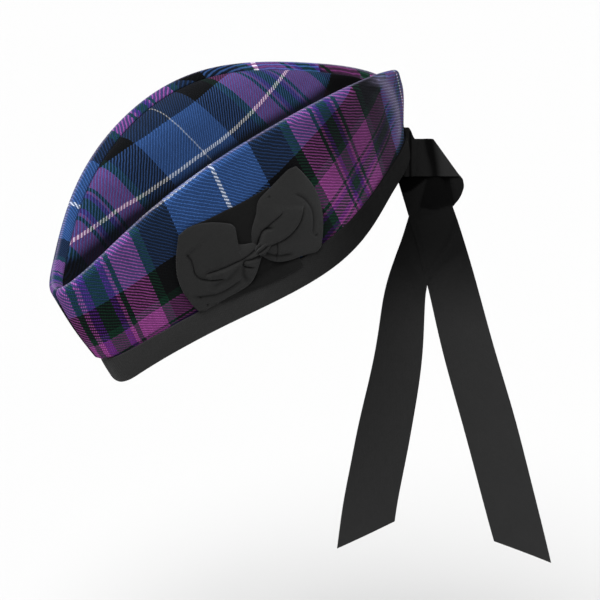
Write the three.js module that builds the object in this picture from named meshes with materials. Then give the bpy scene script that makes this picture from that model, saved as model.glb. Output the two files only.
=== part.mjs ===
// A glengarry: a boat-shaped cap of tartan cloth with a black binding round its lower edge,
// a black ribbon cockade on the left side and two ribbon tails at the back.
//
// Two frames are used, both in millimetres with +Z up:
// - the cap frame lies in the plane of the head opening, front at -X, left side at -Y;
// - the part frame is the cap frame tipped nose down by PITCH, the way the cap is worn, so that
//   the ribbon tails hang straight down. The origin is the centre of the head opening in both.
//
// Every sheet is a grid of points on its middle surface, given a thickness along its normals.
import * as THREE from "three";
import { mergeVertices } from "three/addons/utils/BufferGeometryUtils.js";

// Driving dimensions
const PITCH = THREE.MathUtils.degToRad(29.6);
const BASE_FRONT = -116;
const BASE_BACK = 110;
const BASE_ROUND = 6.3;
const RIDGE_FRONT = -129.5;
const RIDGE_BACK = 115.5;
const RIDGE_ROUND = 5.5;
const RIDGE_ROLL = 2.2;
const SEAM_DROP = 3.5;
const SEAM_EDGE = 0.6;
const WALL_FOOT = 2.2;
const CLOTH = 2;
const CENTRE_GAP = 0.15;

const VALLEY_DEPTH = 48;
const VALLEY_SHARPNESS = 1.25;
const VALLEY_ENDS = 0.8;
const CROWN_THICKNESS = 2.4;
const CROWN_INSET = 0.7;

const BAND_HEIGHT = 15.8;
const BAND_INSIDE_HEIGHT = 14;
const BAND_CLOTH = 1.2;
const BAND_GAP = 0.6;

const RIBBON_CLOTH = 1;
const RIBBON_WIDTH = 31;
const RIBBON_TURN = THREE.MathUtils.degToRad(-40.9);
const RIBBON_ORIGIN = [102.2, 0, 58];

const STATIONS_ALONG = 44;
const CROWN_ACROSS = 18;
const RIBBON_ACROSS = 6;

// The cap's sections, at equal steps of the station parameter from the front tip to the back tip:
// half widths of the lower edge and of the ridge inside their rounding, and the ridge's height.
const SECTIONS = [
  { base_half: 0, ridge_half: 0, ridge_height: 62.5 },
  { base_half: 6.4, ridge_half: 8.5, ridge_height: 71 },
  { base_half: 25.5, ridge_half: 34, ridge_height: 85.5 },
  { base_half: 52, ridge_half: 54, ridge_height: 90.8 },
  { base_half: 37.5, ridge_half: 58.5, ridge_height: 78.2 },
  { base_half: 18.8, ridge_half: 32.5, ridge_height: 54.5 },
  { base_half: 0, ridge_half: 0, ridge_height: 38.5 },
];

// A natural cubic spline through values at equal steps of a parameter from 0 to 1.
function naturalSpline(values) {
  const last = values.length - 1;
  const step = 1 / last;
  const bend = new Array(last + 1).fill(0);
  const upper = new Array(last + 1).fill(0);
  for (let i = 1; i < last; i++) {
    const pivot = 4 - upper[i - 1];
    const curve = (6 * (values[i + 1] - 2 * values[i] + values[i - 1])) / (step * step);
    upper[i] = 1 / pivot;
    bend[i] = (curve - bend[i - 1]) / pivot;
  }
  for (let i = last - 1; i > 0; i--) bend[i] -= upper[i] * bend[i + 1];
  return (t) => {
    const i = Math.min(Math.max(Math.floor(t * last), 0), last - 1);
    const b = t * last - i;
    const a = 1 - b;
    const cubic = (a ** 3 - a) * bend[i] + (b ** 3 - b) * bend[i + 1];
    return a * values[i] + b * values[i + 1] + (cubic * step * step) / 6;
  };
}

function columnSpline(table, column) {
  return naturalSpline(table.map((line) => line[column]));
}

const baseHalf = columnSpline(SECTIONS, "base_half");
const ridgeHalf = columnSpline(SECTIONS, "ridge_half");
const ridgeHeight = columnSpline(SECTIONS, "ridge_height");

// A pointed plan curve from front to back, and its outward normal in plan. The stations bunch up
// at the ends, so that the curve meets the centre line square and its rounding stays smooth.
function planCurve(front, back, half) {
  const at = (t) => [front + ((back - front) * (1 - Math.cos(Math.PI * t))) / 2, half(t)];
  const delta = 1e-4;
  return (t) => {
    const [x, y] = at(t);
    const [x0, y0] = at(Math.max(t - delta, 0));
    const [x1, y1] = at(Math.min(t + delta, 1));
    const run = t <= 0 || t >= 1 ? 0 : x1 - x0;
    const length = Math.hypot(run, y1 - y0);
    return { x, y, nx: -(y1 - y0) / length, ny: run / length };
  };
}

const basePlan = planCurve(BASE_FRONT, BASE_BACK, baseHalf);
const ridgePlan = planCurve(RIDGE_FRONT, RIDGE_BACK, ridgeHalf);

// A point near the side wall: station t, height up the wall from its lower edge, distance out from
// the wall's middle surface. It is given for the side where y is positive.
function wallPoint(t, height, out) {
  const base = basePlan(t);
  const ridge = ridgePlan(t);
  const foot = new THREE.Vector3(
    base.x + base.nx * BASE_ROUND,
    base.y + base.ny * BASE_ROUND,
    WALL_FOOT,
  );
  const top = new THREE.Vector3(
    ridge.x + ridge.nx * RIDGE_ROUND,
    ridge.y + ridge.ny * RIDGE_ROUND,
    ridgeHeight(t) - RIDGE_ROLL,
  );
  const up = top.clone().sub(foot);
  const share = height / up.length();
  foot.addScaledVector(up, share);
  foot.x += base.nx * out;
  foot.y += base.ny * out;
  return foot;
}

function wallHeight(t) {
  const base = basePlan(t);
  const ridge = ridgePlan(t);
  return Math.hypot(
    ridge.x + ridge.nx * RIDGE_ROUND - base.x - base.nx * BASE_ROUND,
    ridge.y + ridge.ny * RIDGE_ROUND - base.y - base.ny * BASE_ROUND,
    ridgeHeight(t) - RIDGE_ROLL - WALL_FOOT,
  );
}

// The turned-in top edge of the side, from the ridge line over the roll to the crown seam.
function ridgePoint(t, inward, drop) {
  const ridge = ridgePlan(t);
  const offset = RIDGE_ROUND - inward;
  return new THREE.Vector3(
    ridge.x + ridge.nx * offset,
    ridge.y + ridge.ny * offset,
    ridgeHeight(t) - drop,
  );
}

function steps(count) {
  return Array.from({ length: count + 1 }, (_, i) => i / count);
}

// Merges equal points, drops the triangles that this leaves empty, and makes a flat-shaded mesh.
function meshOf(name, points, triangles, material) {
  const loose = new THREE.BufferGeometry();
  const numbers = points.flatMap((p) => p.toArray());
  loose.setAttribute("position", new THREE.Float32BufferAttribute(numbers, 3));
  loose.setIndex(triangles.flat());
  const merged = mergeVertices(loose, 1e-3);
  const index = Array.from(merged.index.array);
  const kept = [];
  for (let i = 0; i < index.length; i += 3) {
    const [a, b, c] = index.slice(i, i + 3);
    if (a !== b && b !== c && c !== a) kept.push(a, b, c);
  }
  merged.setIndex(kept);
  merged.computeVertexNormals();
  const mesh = new THREE.Mesh(merged, material);
  mesh.name = name;
  return mesh;
}

// The normals of a grid of points, from the differences between neighbours.
function gridNormals(grid) {
  const rows = grid.length;
  const columns = grid[0].length;
  return grid.map((line, i) =>
    line.map((_, j) => {
      const along = new THREE.Vector3().subVectors(
        grid[Math.min(i + 1, rows - 1)][j],
        grid[Math.max(i - 1, 0)][j],
      );
      const across = new THREE.Vector3().subVectors(
        grid[i][Math.min(j + 1, columns - 1)],
        grid[i][Math.max(j - 1, 0)],
      );
      return along.cross(across).normalize();
    }),
  );
}

// A closed sheet: the two faces of a grid, half the thickness to each side, and a rim round them.
// The faces are turned round where the grid runs the other way, so that they always point out.
function sheetMesh(name, front, back, material, flip) {
  const rows = front.length;
  const columns = front[0].length;
  const points = [...front.flat(), ...back.flat()];
  const top = (i, j) => i * columns + j;
  const bottom = (i, j) => rows * columns + i * columns + j;
  const triangles = [];
  const quad = (a, b, c, d) => {
    triangles.push([a, b, c], [a, c, d]);
  };
  for (let i = 0; i < rows - 1; i++)
    for (let j = 0; j < columns - 1; j++) {
      quad(top(i, j), top(i + 1, j), top(i + 1, j + 1), top(i, j + 1));
      quad(bottom(i, j), bottom(i, j + 1), bottom(i + 1, j + 1), bottom(i + 1, j));
    }
  const m = rows - 1;
  const n = columns - 1;
  for (let i = 0; i < m; i++) {
    quad(top(i, 0), bottom(i, 0), bottom(i + 1, 0), top(i + 1, 0));
    quad(top(i, n), top(i + 1, n), bottom(i + 1, n), bottom(i, n));
  }
  for (let j = 0; j < n; j++) {
    quad(top(0, j), top(0, j + 1), bottom(0, j + 1), bottom(0, j));
    quad(top(m, j), bottom(m, j), bottom(m, j + 1), top(m, j + 1));
  }
  const turned = flip ? triangles.map(([a, b, c]) => [a, c, b]) : triangles;
  return meshOf(name, points, turned, material);
}

function thickened(grid, thickness) {
  const normals = gridNormals(grid);
  const shifted = (amount) =>
    grid.map((line, i) => line.map((p, j) => p.clone().addScaledVector(normals[i][j], amount)));
  return [shifted(thickness / 2), shifted(-thickness / 2)];
}

function clothSheet(name, grid, thickness, material) {
  const [front, back] = thickened(grid, thickness);
  return sheetMesh(name, front, back, material, false);
}

const tartan = new THREE.MeshStandardMaterial({ color: 0x3a2f52, roughness: 0.85, metalness: 0 });
const binding = new THREE.MeshStandardMaterial({ color: 0x161617, roughness: 0.8, metalness: 0 });
const ribbon = new THREE.MeshStandardMaterial({ color: 0x141414, roughness: 0.7, metalness: 0 });

// One side of the cap, from the lower edge up the wall, over the ridge and in to the crown seam.
// The two sides meet on the centre plane at the front and back seams.
function capSide(name, side) {
  const wallShares = steps(6);
  const rollAngles = [Math.PI / 4, Math.PI / 2];
  const grid = steps(STATIONS_ALONG).map((t) => {
    const line = wallShares.map((share) => wallPoint(t, share * wallHeight(t), 0));
    for (const angle of rollAngles) {
      const inward = RIDGE_ROLL * (1 - Math.cos(angle));
      line.push(ridgePoint(t, inward, RIDGE_ROLL * (1 - Math.sin(angle))));
    }
    line.push(ridgePoint(t, RIDGE_ROUND - SEAM_EDGE, SEAM_DROP));
    return line;
  });
  const faces = thickened(grid, CLOTH);
  for (const face of faces)
    face.forEach((line, i) => {
      const onCentre = i === 0 || i === face.length - 1;
      for (const p of line) p.y = side * (onCentre ? CENTRE_GAP : Math.max(p.y, 0) + CENTRE_GAP);
    });
  return sheetMesh(name, faces[0], faces[1], tartan, side < 0);
}

// The crown: one piece between the two ridge seams. It starts level at the seams and falls into a
// valley along the centre line; the fall follows a raised cosine across, and fades at both tips.
function crownGrid(lift) {
  return steps(STATIONS_ALONG).map((t) => {
    const { x, y, nx, ny } = ridgePlan(t);
    const edge = Math.max(y - ny * CROWN_INSET, y / 2);
    const depth = VALLEY_DEPTH * Math.sin(Math.PI * t) ** VALLEY_ENDS;
    const seamHeight = ridgeHeight(t) - SEAM_DROP + lift;
    return steps(CROWN_ACROSS).map((share) => {
      const across = 2 * share - 1;
      const fall = ((1 + Math.cos(Math.PI * across)) / 2) ** VALLEY_SHARPNESS;
      return new THREE.Vector3(x - nx * CROWN_INSET, edge * across, seamHeight - depth * fall);
    });
  });
}

function crown() {
  return sheetMesh(
    "crown",
    crownGrid(CROWN_THICKNESS / 2),
    crownGrid(-CROWN_THICKNESS / 2),
    tartan,
    false,
  );
}

// The binding: a folded strip round the lower edge, taller outside than inside.
function band() {
  const inner = CLOTH / 2 + BAND_GAP;
  const outer = inner + BAND_CLOTH;
  const profile = [
    [outer, BAND_HEIGHT],
    [outer, -BAND_GAP],
    [outer - BAND_CLOTH / 2, -BAND_GAP - BAND_CLOTH],
    [-outer + BAND_CLOTH / 2, -BAND_GAP - BAND_CLOTH],
    [-outer, -BAND_GAP],
    [-outer, BAND_INSIDE_HEIGHT],
    [-inner, BAND_INSIDE_HEIGHT],
    [-inner, -BAND_GAP],
    [inner, -BAND_GAP],
    [inner, BAND_HEIGHT],
  ];
  const stations = steps(STATIONS_ALONG);
  const loop = [
    ...stations.map((t) => [t, -1]),
    ...stations
      .slice(1, -1)
      .reverse()
      .map((t) => [t, 1]),
  ];
  const points = loop.flatMap(([t, side]) =>
    profile.map(([out, height]) => {
      const p = wallPoint(t, height, out);
      const onCentre = t === 0 || t === 1;
      p.y = onCentre ? 0 : side * (Math.max(p.y, 0) + CENTRE_GAP);
      return p;
    }),
  );
  const triangles = [];
  const count = profile.length;
  loop.forEach((_, i) => {
    const next = (i + 1) % loop.length;
    for (let j = 0; j < count; j++) {
      const k = (j + 1) % count;
      const [a, b, c, d] = [i * count + j, next * count + j, next * count + k, i * count + k];
      triangles.push([a, c, b], [a, d, c]);
    }
  });
  return meshOf("band", points, triangles, binding);
}

// The cockade lies on the left wall. Its outlines are given on the wall: how far along the lower
// edge from the front seam, and how high above the lower edge.
const BACKING_OUT = 2;
const LOBE_OUT = 4.1;
const LOBE_PUFF = 3;
const LOBE_CLOTH = 1.2;
const KNOT = { along: 101.8, height: 33, half_width: 3.2, half_height: 5, out: 5.8, half_depth: 3 };

// Lines of each table are at equal steps from the knot to the lobe's free end.
const FRONT_LOBE = [
  { upper_along: 98, upper_height: 36.5, lower_along: 97.5, lower_height: 29 },
  { upper_along: 91.5, upper_height: 43, lower_along: 92, lower_height: 21.5 },
  { upper_along: 94, upper_height: 55, lower_along: 83, lower_height: 16.5 },
  { upper_along: 81.5, upper_height: 64, lower_along: 71, lower_height: 14 },
  { upper_along: 67.5, upper_height: 67.5, lower_along: 58.5, lower_height: 15.5 },
];
const REAR_LOBE = [
  { upper_along: 106, upper_height: 39, lower_along: 106.5, lower_height: 29 },
  { upper_along: 105.5, upper_height: 49, lower_along: 108, lower_height: 20.5 },
  { upper_along: 113.5, upper_height: 59, lower_along: 114.5, lower_height: 15 },
  { upper_along: 125.5, upper_height: 63, lower_along: 123, lower_height: 12.5 },
  { upper_along: 137, upper_height: 66, lower_along: 131, lower_height: 11.5 },
];
const BACKING = [
  { upper_along: 78, upper_height: 63.5, lower_along: 75, lower_height: 17 },
  { upper_along: 96, upper_height: 62.5, lower_along: 96, lower_height: 17 },
  { upper_along: 114.5, upper_height: 59.5, lower_along: 118, lower_height: 17 },
];
const FRONT_LOBE_BULGE = -7;
const REAR_LOBE_BULGE = 7.5;

// The station at a distance along the wall's lower edge from the front seam, by adding up chords.
const EDGE_STEPS = 400;
const edgePoints = steps(EDGE_STEPS).map((t) => wallPoint(t, 0, 0));
const edgeLengths = [0];
for (let i = 1; i <= EDGE_STEPS; i++)
  edgeLengths.push(edgeLengths[i - 1] + edgePoints[i].distanceTo(edgePoints[i - 1]));
function stationAt(along) {
  const i = edgeLengths.findIndex((length) => length >= along);
  const share = (along - edgeLengths[i - 1]) / (edgeLengths[i] - edgeLengths[i - 1]);
  return (i - 1 + share) / EDGE_STEPS;
}

function leftWallPoint(along, height, out) {
  const p = wallPoint(stationAt(along), height, out);
  p.y *= -1;
  return p;
}

// A ribbon surface between an upper and a lower outline, swelling outwards between its edges, with
// its free end bulging by end_bulge along the wall.
function outlineGrid(table, rows, columns, out, puff, endBulge) {
  const upperAlong = columnSpline(table, "upper_along");
  const upperHeight = columnSpline(table, "upper_height");
  const lowerAlong = columnSpline(table, "lower_along");
  const lowerHeight = columnSpline(table, "lower_height");
  return steps(rows).map((p) =>
    steps(columns).map((q) => {
      const bulge = endBulge * p ** 3 * Math.sin(Math.PI * q);
      const along = upperAlong(p) * q + lowerAlong(p) * (1 - q) + bulge;
      const height = upperHeight(p) * q + lowerHeight(p) * (1 - q);
      return leftWallPoint(along, height, out + puff * Math.sin(Math.PI * p) * Math.sin(Math.PI * q));
    }),
  );
}

function lobe(name, table, endBulge, turned) {
  const grid = outlineGrid(table, 14, 12, LOBE_OUT, LOBE_PUFF, endBulge);
  if (turned) grid.reverse();
  return clothSheet(name, grid, LOBE_CLOTH, ribbon);
}

function cockadeBack() {
  const grid = outlineGrid(BACKING, 8, 6, BACKING_OUT, 0, 0);
  return clothSheet("cockade_back", grid, RIBBON_CLOTH, ribbon);
}

function cockadeKnot() {
  const shape = new THREE.SphereGeometry(1, 20, 12);
  shape.deleteAttribute("uv");
  shape.deleteAttribute("normal");
  const centre = leftWallPoint(KNOT.along, KNOT.height, KNOT.out);
  const along = leftWallPoint(KNOT.along + 1, KNOT.height, KNOT.out).sub(centre).normalize();
  const up = leftWallPoint(KNOT.along, KNOT.height + 1, KNOT.out).sub(centre).normalize();
  const out = along.clone().cross(up).normalize();
  const place = new THREE.Matrix4().makeBasis(
    along.multiplyScalar(KNOT.half_width),
    up.multiplyScalar(KNOT.half_height),
    out.multiplyScalar(KNOT.half_depth),
  );
  place.setPosition(centre);
  const mesh = new THREE.Mesh(mergeVertices(shape, 1e-4), ribbon);
  mesh.geometry.applyMatrix4(place);
  mesh.name = "cockade_knot";
  return mesh;
}

// The ribbons hang in an upright plane through the back of the cap. In it x runs across, z up, and
// y away from the side that is seen. tail_left comes out of the back level, folds behind itself on
// a slant and hangs; tail_right comes out of the back and hangs between the fold's two layers.
const FOLD_START = 1;
const FOLD_CENTRE = 27.6;
const FOLD_HEIGHT = -16;
const FOLD_SLANT = THREE.MathUtils.degToRad(-55);
const FOLD_RADIUS = 1.6;
const FOLD_HALF_HEIGHT = 11;
const FOLD_ROWS = 8;
const FOLD_FADE = 30;
const LEFT_TAIL_RISE = 5.5;
const LEFT_TAIL_RISE_RUN = 8;
const LEFT_TAIL_END = 266;
const LEFT_TAIL_CUT = 15;
const LEFT_TAIL_ROWS = 26;
const SPREAD = 0.205;
const SPREAD_HEIGHT = -80;
const SPREAD_SOFTNESS = 8;
const WIDENING_START = 75;
const WIDENING_END = 210;

// Lines of the table are at equal steps down the ribbon.
const RIGHT_TAIL = [
  { height: -8, centre: 5, half_width: 11 },
  { height: -48, centre: 18, half_width: 13.2 },
  { height: -88, centre: 30.2, half_width: 14.6 },
  { height: -128, centre: 40.6, half_width: 15.6 },
  { height: -168, centre: 52.2, half_width: 16.2 },
  { height: -208, centre: 63, half_width: 16.4 },
  { height: -250, centre: 73.6, half_width: 16.6 },
];
const RIGHT_TAIL_CUT = -6.8;
const RIGHT_TAIL_ROWS = 24;

function ribbonPoint(across, height, front) {
  return new THREE.Vector3(across, -front, height);
}

// The folded tail: the strip is laid out flat, everything past the slanted fold line is turned back
// round a half circle, and the hanging part is drawn sideways as it falls. The strip's rows run
// along the slant at the fold and square to the edges away from it, and follow the cut at its end.
function leftTail() {
  const along = new THREE.Vector2(Math.cos(FOLD_SLANT), Math.sin(FOLD_SLANT));
  const normal = new THREE.Vector2(-along.y, along.x);
  const halfTurn = (Math.PI * FOLD_RADIUS) / 2;
  const bend = halfTurn / normal.x;
  const softened = (value) => SPREAD_SOFTNESS * Math.log1p(Math.exp(value / SPREAD_SOFTNESS));
  const { lerp, smoothstep } = THREE.MathUtils;
  const runs = [
    ...steps(FOLD_ROWS)
      .slice(0, -1)
      .map((share) => lerp(FOLD_START, FOLD_CENTRE - bend, share)),
    ...steps(FOLD_ROWS).map((share) => lerp(FOLD_CENTRE - bend, FOLD_CENTRE + bend, share)),
    ...steps(LEFT_TAIL_ROWS)
      .slice(1)
      .map((share) => lerp(FOLD_CENTRE + bend, LEFT_TAIL_END, share)),
  ];
  const grid = runs.map((run) =>
    steps(RIBBON_ACROSS).map((side) => {
      const q = 2 * side - 1;
      const widening = smoothstep(run, WIDENING_START, WIDENING_END);
      const half = lerp(FOLD_HALF_HEIGHT, RIBBON_WIDTH / 2, widening);
      const near = 1 - smoothstep(Math.abs(run - FOLD_CENTRE), bend, FOLD_FADE);
      const skew = (-q * half * near * normal.y) / normal.x;
      const cut = LEFT_TAIL_CUT * q * smoothstep(run, LEFT_TAIL_END - FOLD_FADE, LEFT_TAIL_END);
      const level = smoothstep(run, FOLD_START, FOLD_START + LEFT_TAIL_RISE_RUN);
      const rise = LEFT_TAIL_RISE * side * (1 - level);
      const flat = new THREE.Vector2(run + skew + cut - FOLD_CENTRE, q * half + rise);
      const past = flat.dot(normal);
      const slide = flat.dot(along);
      const turn = THREE.MathUtils.clamp((past + halfTurn) / FOLD_RADIUS, 0, Math.PI);
      const over = Math.max(Math.abs(past) - halfTurn, 0);
      const reach = FOLD_RADIUS * Math.sin(turn) - over;
      const across = FOLD_CENTRE + slide * along.x + reach * normal.x;
      const height = FOLD_HEIGHT + slide * along.y + reach * normal.y;
      const spread = SPREAD * softened(SPREAD_HEIGHT - height);
      return ribbonPoint(across + spread, height, FOLD_RADIUS * Math.cos(turn));
    }),
  );
  return clothSheet("tail_left", grid, RIBBON_CLOTH, ribbon);
}

function rightTail() {
  const height = columnSpline(RIGHT_TAIL, "height");
  const centre = columnSpline(RIGHT_TAIL, "centre");
  const half = columnSpline(RIGHT_TAIL, "half_width");
  const grid = steps(RIGHT_TAIL_ROWS).map((share) =>
    steps(RIBBON_ACROSS).map((side) => {
      const q = 2 * side - 1;
      const cut = RIGHT_TAIL_CUT * q * share ** 8;
      return ribbonPoint(centre(share) + q * half(share), height(share) + cut, 0);
    }),
  );
  return clothSheet("tail_right", grid, RIBBON_CLOTH, ribbon);
}

const cap = new THREE.Group();
cap.rotation.y = -PITCH;
cap.add(
  capSide("side_left", -1),
  capSide("side_right", 1),
  crown(),
  band(),
  cockadeBack(),
  lobe("cockade_lobe_front", FRONT_LOBE, FRONT_LOBE_BULGE, false),
  lobe("cockade_lobe_rear", REAR_LOBE, REAR_LOBE_BULGE, true),
  cockadeKnot(),
);

const ribbons = new THREE.Group();
ribbons.position.set(...RIBBON_ORIGIN);
ribbons.rotation.z = RIBBON_TURN;
ribbons.add(leftTail(), rightTail());

const glengarry = new THREE.Group();
glengarry.name = "glengarry";
glengarry.add(cap, ribbons);

export default glengarry;
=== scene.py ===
"""A glengarry in tartan cloth: two sides, a folded crown, a black binding, a ribbon cockade and two tails.

Lengths in this script are millimetres until to_metres() turns them into scene units. Two frames are
used, both with +Z up: the cap frame lies in the plane of the head opening, front at -X and left side
at -Y, and the part frame is the cap frame tipped nose down, the way the cap is worn.

Each piece has a cloth attribute: every point's place across and down the flat cloth, which the weave
follows, and a value that paints the tartan paler above 0, for painted highlights and in places also for
rubbed nap, and darkens a piece below 0, for painted shade.
"""

from collections import namedtuple

import bpy
import numpy as np
from bpy.props import FloatProperty, FloatVectorProperty, PointerProperty
from bpy.types import Operator, Panel, PropertyGroup
from mathutils import Matrix, Vector


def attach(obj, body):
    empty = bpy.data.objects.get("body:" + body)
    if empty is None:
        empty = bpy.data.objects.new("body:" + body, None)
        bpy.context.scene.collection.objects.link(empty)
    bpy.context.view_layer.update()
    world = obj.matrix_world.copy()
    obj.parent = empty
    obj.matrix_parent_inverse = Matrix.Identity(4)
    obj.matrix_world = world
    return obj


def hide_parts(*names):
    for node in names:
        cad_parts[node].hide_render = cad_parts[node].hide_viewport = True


bl_info = {
    "name": "Glengarry",
    "version": (1, 0, 0),
    "blender": (4, 5, 0),
    "location": "View3D > Sidebar > Glengarry",
    "description": "Builds a tartan glengarry with its binding, cockade and ribbon tails",
    "category": "Add Mesh",
}

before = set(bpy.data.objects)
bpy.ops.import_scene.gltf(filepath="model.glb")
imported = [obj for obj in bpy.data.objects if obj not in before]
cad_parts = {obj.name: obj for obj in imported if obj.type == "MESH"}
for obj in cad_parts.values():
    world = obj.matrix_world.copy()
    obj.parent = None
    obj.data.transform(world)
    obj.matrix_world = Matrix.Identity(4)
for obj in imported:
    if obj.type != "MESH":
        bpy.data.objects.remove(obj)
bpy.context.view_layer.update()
MM = 0.001

# Driving dimensions of the cap, in its own frame. A pair that is named RUN, START, TOP, END or BLEND
# holds where something begins and ends to change: along the lower edge, up the wall or down a ribbon.
PITCH = np.radians(29.6)
BASE_ENDS = (-116.0, 110.0)
BASE_ROUND = 6.3
RIDGE_ENDS = (-125.5, 115.2)
RIDGE_ROUND = 5.5
RIDGE_ROLL = 2.2
ROLL_LENGTH = 3.46
SEAM_DROP = 3.6
SEAM_INWARD = 5.7
STRIP_LENGTH = 5.0
STRIP_POWER = 1.6
STRIP_SHARES = (0.15, 0.35, 0.55, 0.7, 0.8, 0.88, 0.94, 0.98, 1.0)
WALL_FOOT = 2.2

# The cap's sections at equal steps of the station parameter, from the front tip to the back tip:
# half width of the lower edge, half width of the ridge, height of the ridge.
SECTIONS = np.array(
    [
        (0.0, 0.0, 65.4),
        (6.4, 13.6, 72.5),
        (26.3, 35.2, 86.5),
        (53.0, 55.5, 89.7),
        (39.3, 58.5, 78.2),
        (21.6, 32.5, 54.5),
        (0.0, 0.0, 36.5),
    ]
)
BASE_HALF, RIDGE_HALF, RIDGE_HEIGHT = range(3)

# The crown's valley, and how far the crown's edges lie past and under the sides' strips.
VALLEY_DEPTH = 48.0
VALLEY_SHARPNESS = 1.25
VALLEY_ENDS = 0.8
CROWN_TIP = 0.006
CROWN_OVERLAP = 0.3
CROWN_TUCK = 0.9
CROWN_TUCK_FADE = 1.6

# The sides' shape at the front and back seams, with how fast each part of it fades away from them.
BOW_POWER = 1.3
FRONT_BOW = 2.6
FRONT_BOW_FADE = 12.0
FRONT_INSET = (2.5, 5.2)
FRONT_INSET_FADE = 14.0
FRONT_INSET_TOP = (14.4, 17.6)
BACK_BOW = 4.2
BACK_BOW_FADE = 13.0
BACK_PINCH = 8.8
BACK_PINCH_PLACE = 16.0
BACK_PINCH_RUN = (10.0, 22.0)
BACK_PINCH_TOP = (10.0, 38.0)
BACK_DROP = 1.6
BACK_DROP_FADE = 7.0
BACK_DROP_TOP = (8.0, 30.0)

# The sides' unevenness, and the soft upright ridge near the back with a crease in front of it. The
# ridge's place along the edge is BACK_RIDGE at BACK_HEIGHT and bends forward above and below it.
UNEVENNESS = 0.7
UNEVEN_START = (14.0, 26.0)
BACK_RIDGE = 225.5
BACK_HEIGHT = 36.0
BACK_BEND = 0.0113
BACK_RIDGE_RISE = 1.2
BACK_RIDGE_WIDTH = 5.0
BACK_CREASE = 8.5
BACK_CREASE_DEPTH = 0.8
BACK_CREASE_WIDTH = 3.5

# The binding.
BAND_HEIGHT = 14.2
BAND_INSIDE_HEIGHT = 12.8
BAND_OUT = 2.2
BAND_SWELL = 0.35
BAND_STRAIGHT = 0.4
BAND_LIP = 0.02
BAND_BOTTOM = 1.6
BAND_PUCKER = 0.12
BAND_PUCKER_LENGTHS = (1.9, 6.7)
BAND_FRONT_DIP = 2.2
BAND_FRONT_FADE = 7.0
BAND_FRONT_TOP = (0.0, 12.0)
BAND_END_DROP = 0.15
BAND_END_RUN = (20.0, 46.0)
# Painted shade on the binding: a little near the back tip and more over the back part.
BAND_END_SHADE = 0.12
BAND_SHADE = 0.76
BAND_SHADE_RUN = (105.0, 200.0)

# The tartan is the same both ways of the cloth and turns back on itself at its first and last
# stripe. Each line is a stripe's colour and how far its far edge lies from the white centre.
SETT = (
    ("white", 1.08),
    ("blue", 27.0),
    ("black", 45.4),
    ("green", 50.4),
    ("purple", 64.2),
    ("green", 66.4),
    ("purple", 68.0),
    ("violet", 70.9),
    ("green", 73.8),
)
SETT_TURN = SETT[-1][1]

# The weave: the threads' pitch, the white line's width down the cloth, how far yarns are pulled
# aside, their rounding and colours, the painted shade in their hollows and the painted sheen that sets
# warp floats lighter than weft floats. The reliefs are in scene units.
THREAD = 0.54
FINE_WHITE = 0.54
TWILL_THREADS = 4
YARN_PULL = 0.9
YARN_ROUNDING = 2.2
YARN_DYE = (0.88, 1.12)
YARN_MIX = (0.08, 0.92)
WARP_WEFT_SHEEN = (0.66, 1.26)
YARN_FUZZ = 0.42
YARN_HOLLOW_SHADE = 0.75
TWILL_RELIEF = 0.00014
RIBBON_RELIEF = 0.0001
RIBBON_SHINE = 0.2

# How the cloth lies on the sides. The left side's columns are (distance along the lower edge, place
# on the cloth) pairs; the right side's have a green centre with a stretch in front of it and behind
# it. Rows follow the height of the edge between blue and black, and gather above the binding.
LEFT_COLUMNS = np.array(
    [
        (0.0, -90.0),
        (14.5, -78.0),
        (21.2, -72.0),
        (28.0, -65.8),
        (41.0, -52.0),
        (64.5, -27.0),
        (95.6, 0.0),
        (120.3, 27.0),
        (146.0, 50.4),
        (168.5, 73.8),
        (192.0, 97.2),
        (212.0, 120.6),
        (280.0, 195.0),
    ]
)
COLUMN_LEAN = 0.0012
COLUMN_LEAN_HEIGHT = 60.0
RIGHT_CENTRE = 141.5
RIGHT_STRETCH = (0.841, 0.9546)
STRETCH_BLEND = 25.0
RIGHT_FRONT = 54.0
RIGHT_FRONT_EASE = 0.0218
RIGHT_ROW_SHIFT = 8.5
ROW_EDGE = 27.2
ROW_HEIGHT = (46.8, 0.075, 0.00053)
ROW_EASE = 0.15
ROW_EASE_START = 8.0
ROW_EASE_BLEND = 4.0
ROW_GATHER = (5.0, 2.5)
ROW_GATHER_FRONT = 10.0
ROW_GATHER_RUN = 80.0
ROW_GATHER_HEIGHT = 16.0
ROW_GATHER_FADE = 9.0

# How the cloth lies on the crown: the white centres' place along and across, and its stretch.
CROWN_CENTRE = 4.3
CROWN_STRETCH = (0.915, 1.07)
CROWN_BACK_EASE = 4.0
CROWN_BACK_RUN = 69.2
CROWN_ROW = 33.5
CROWN_ROW_BEND = (0.00045, 0.0024)
CROWN_UNEVENNESS = 0.8
CROWN_WAVES = 1.3

# Painted light on the tartan: a painted highlight along the ridge's roll, and a pale patch, part rubbed
# nap and part painted highlight, on the crest of the upright ridge near the back and on the back tip.
# Painted shade darkens the sides' front and flanks, the crown's valley and the crown round it.
RIDGE_HIGHLIGHT = 0.62
RIDGE_HIGHLIGHT_PLACE = 3.0
RIDGE_HIGHLIGHT_WIDTH = 0.48
CREST_WEAR_AND_HIGHLIGHT_WIDTH = 4.4
CREST_WEAR_AND_HIGHLIGHT_START = (16.0, 28.0)
CREST_WEAR_AND_HIGHLIGHT_KEPT_PAST_RIDGE = 0.15
CREST_WEAR_AND_HIGHLIGHT_KEPT_RIGHT = 0.2
CREST_WEAR_AND_HIGHLIGHT_TOP = (-2.0, 3.0)
TIP_WEAR_AND_HIGHLIGHT = 0.5
TIP_WEAR_AND_HIGHLIGHT_RUN = (236.0, 258.0)
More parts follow.
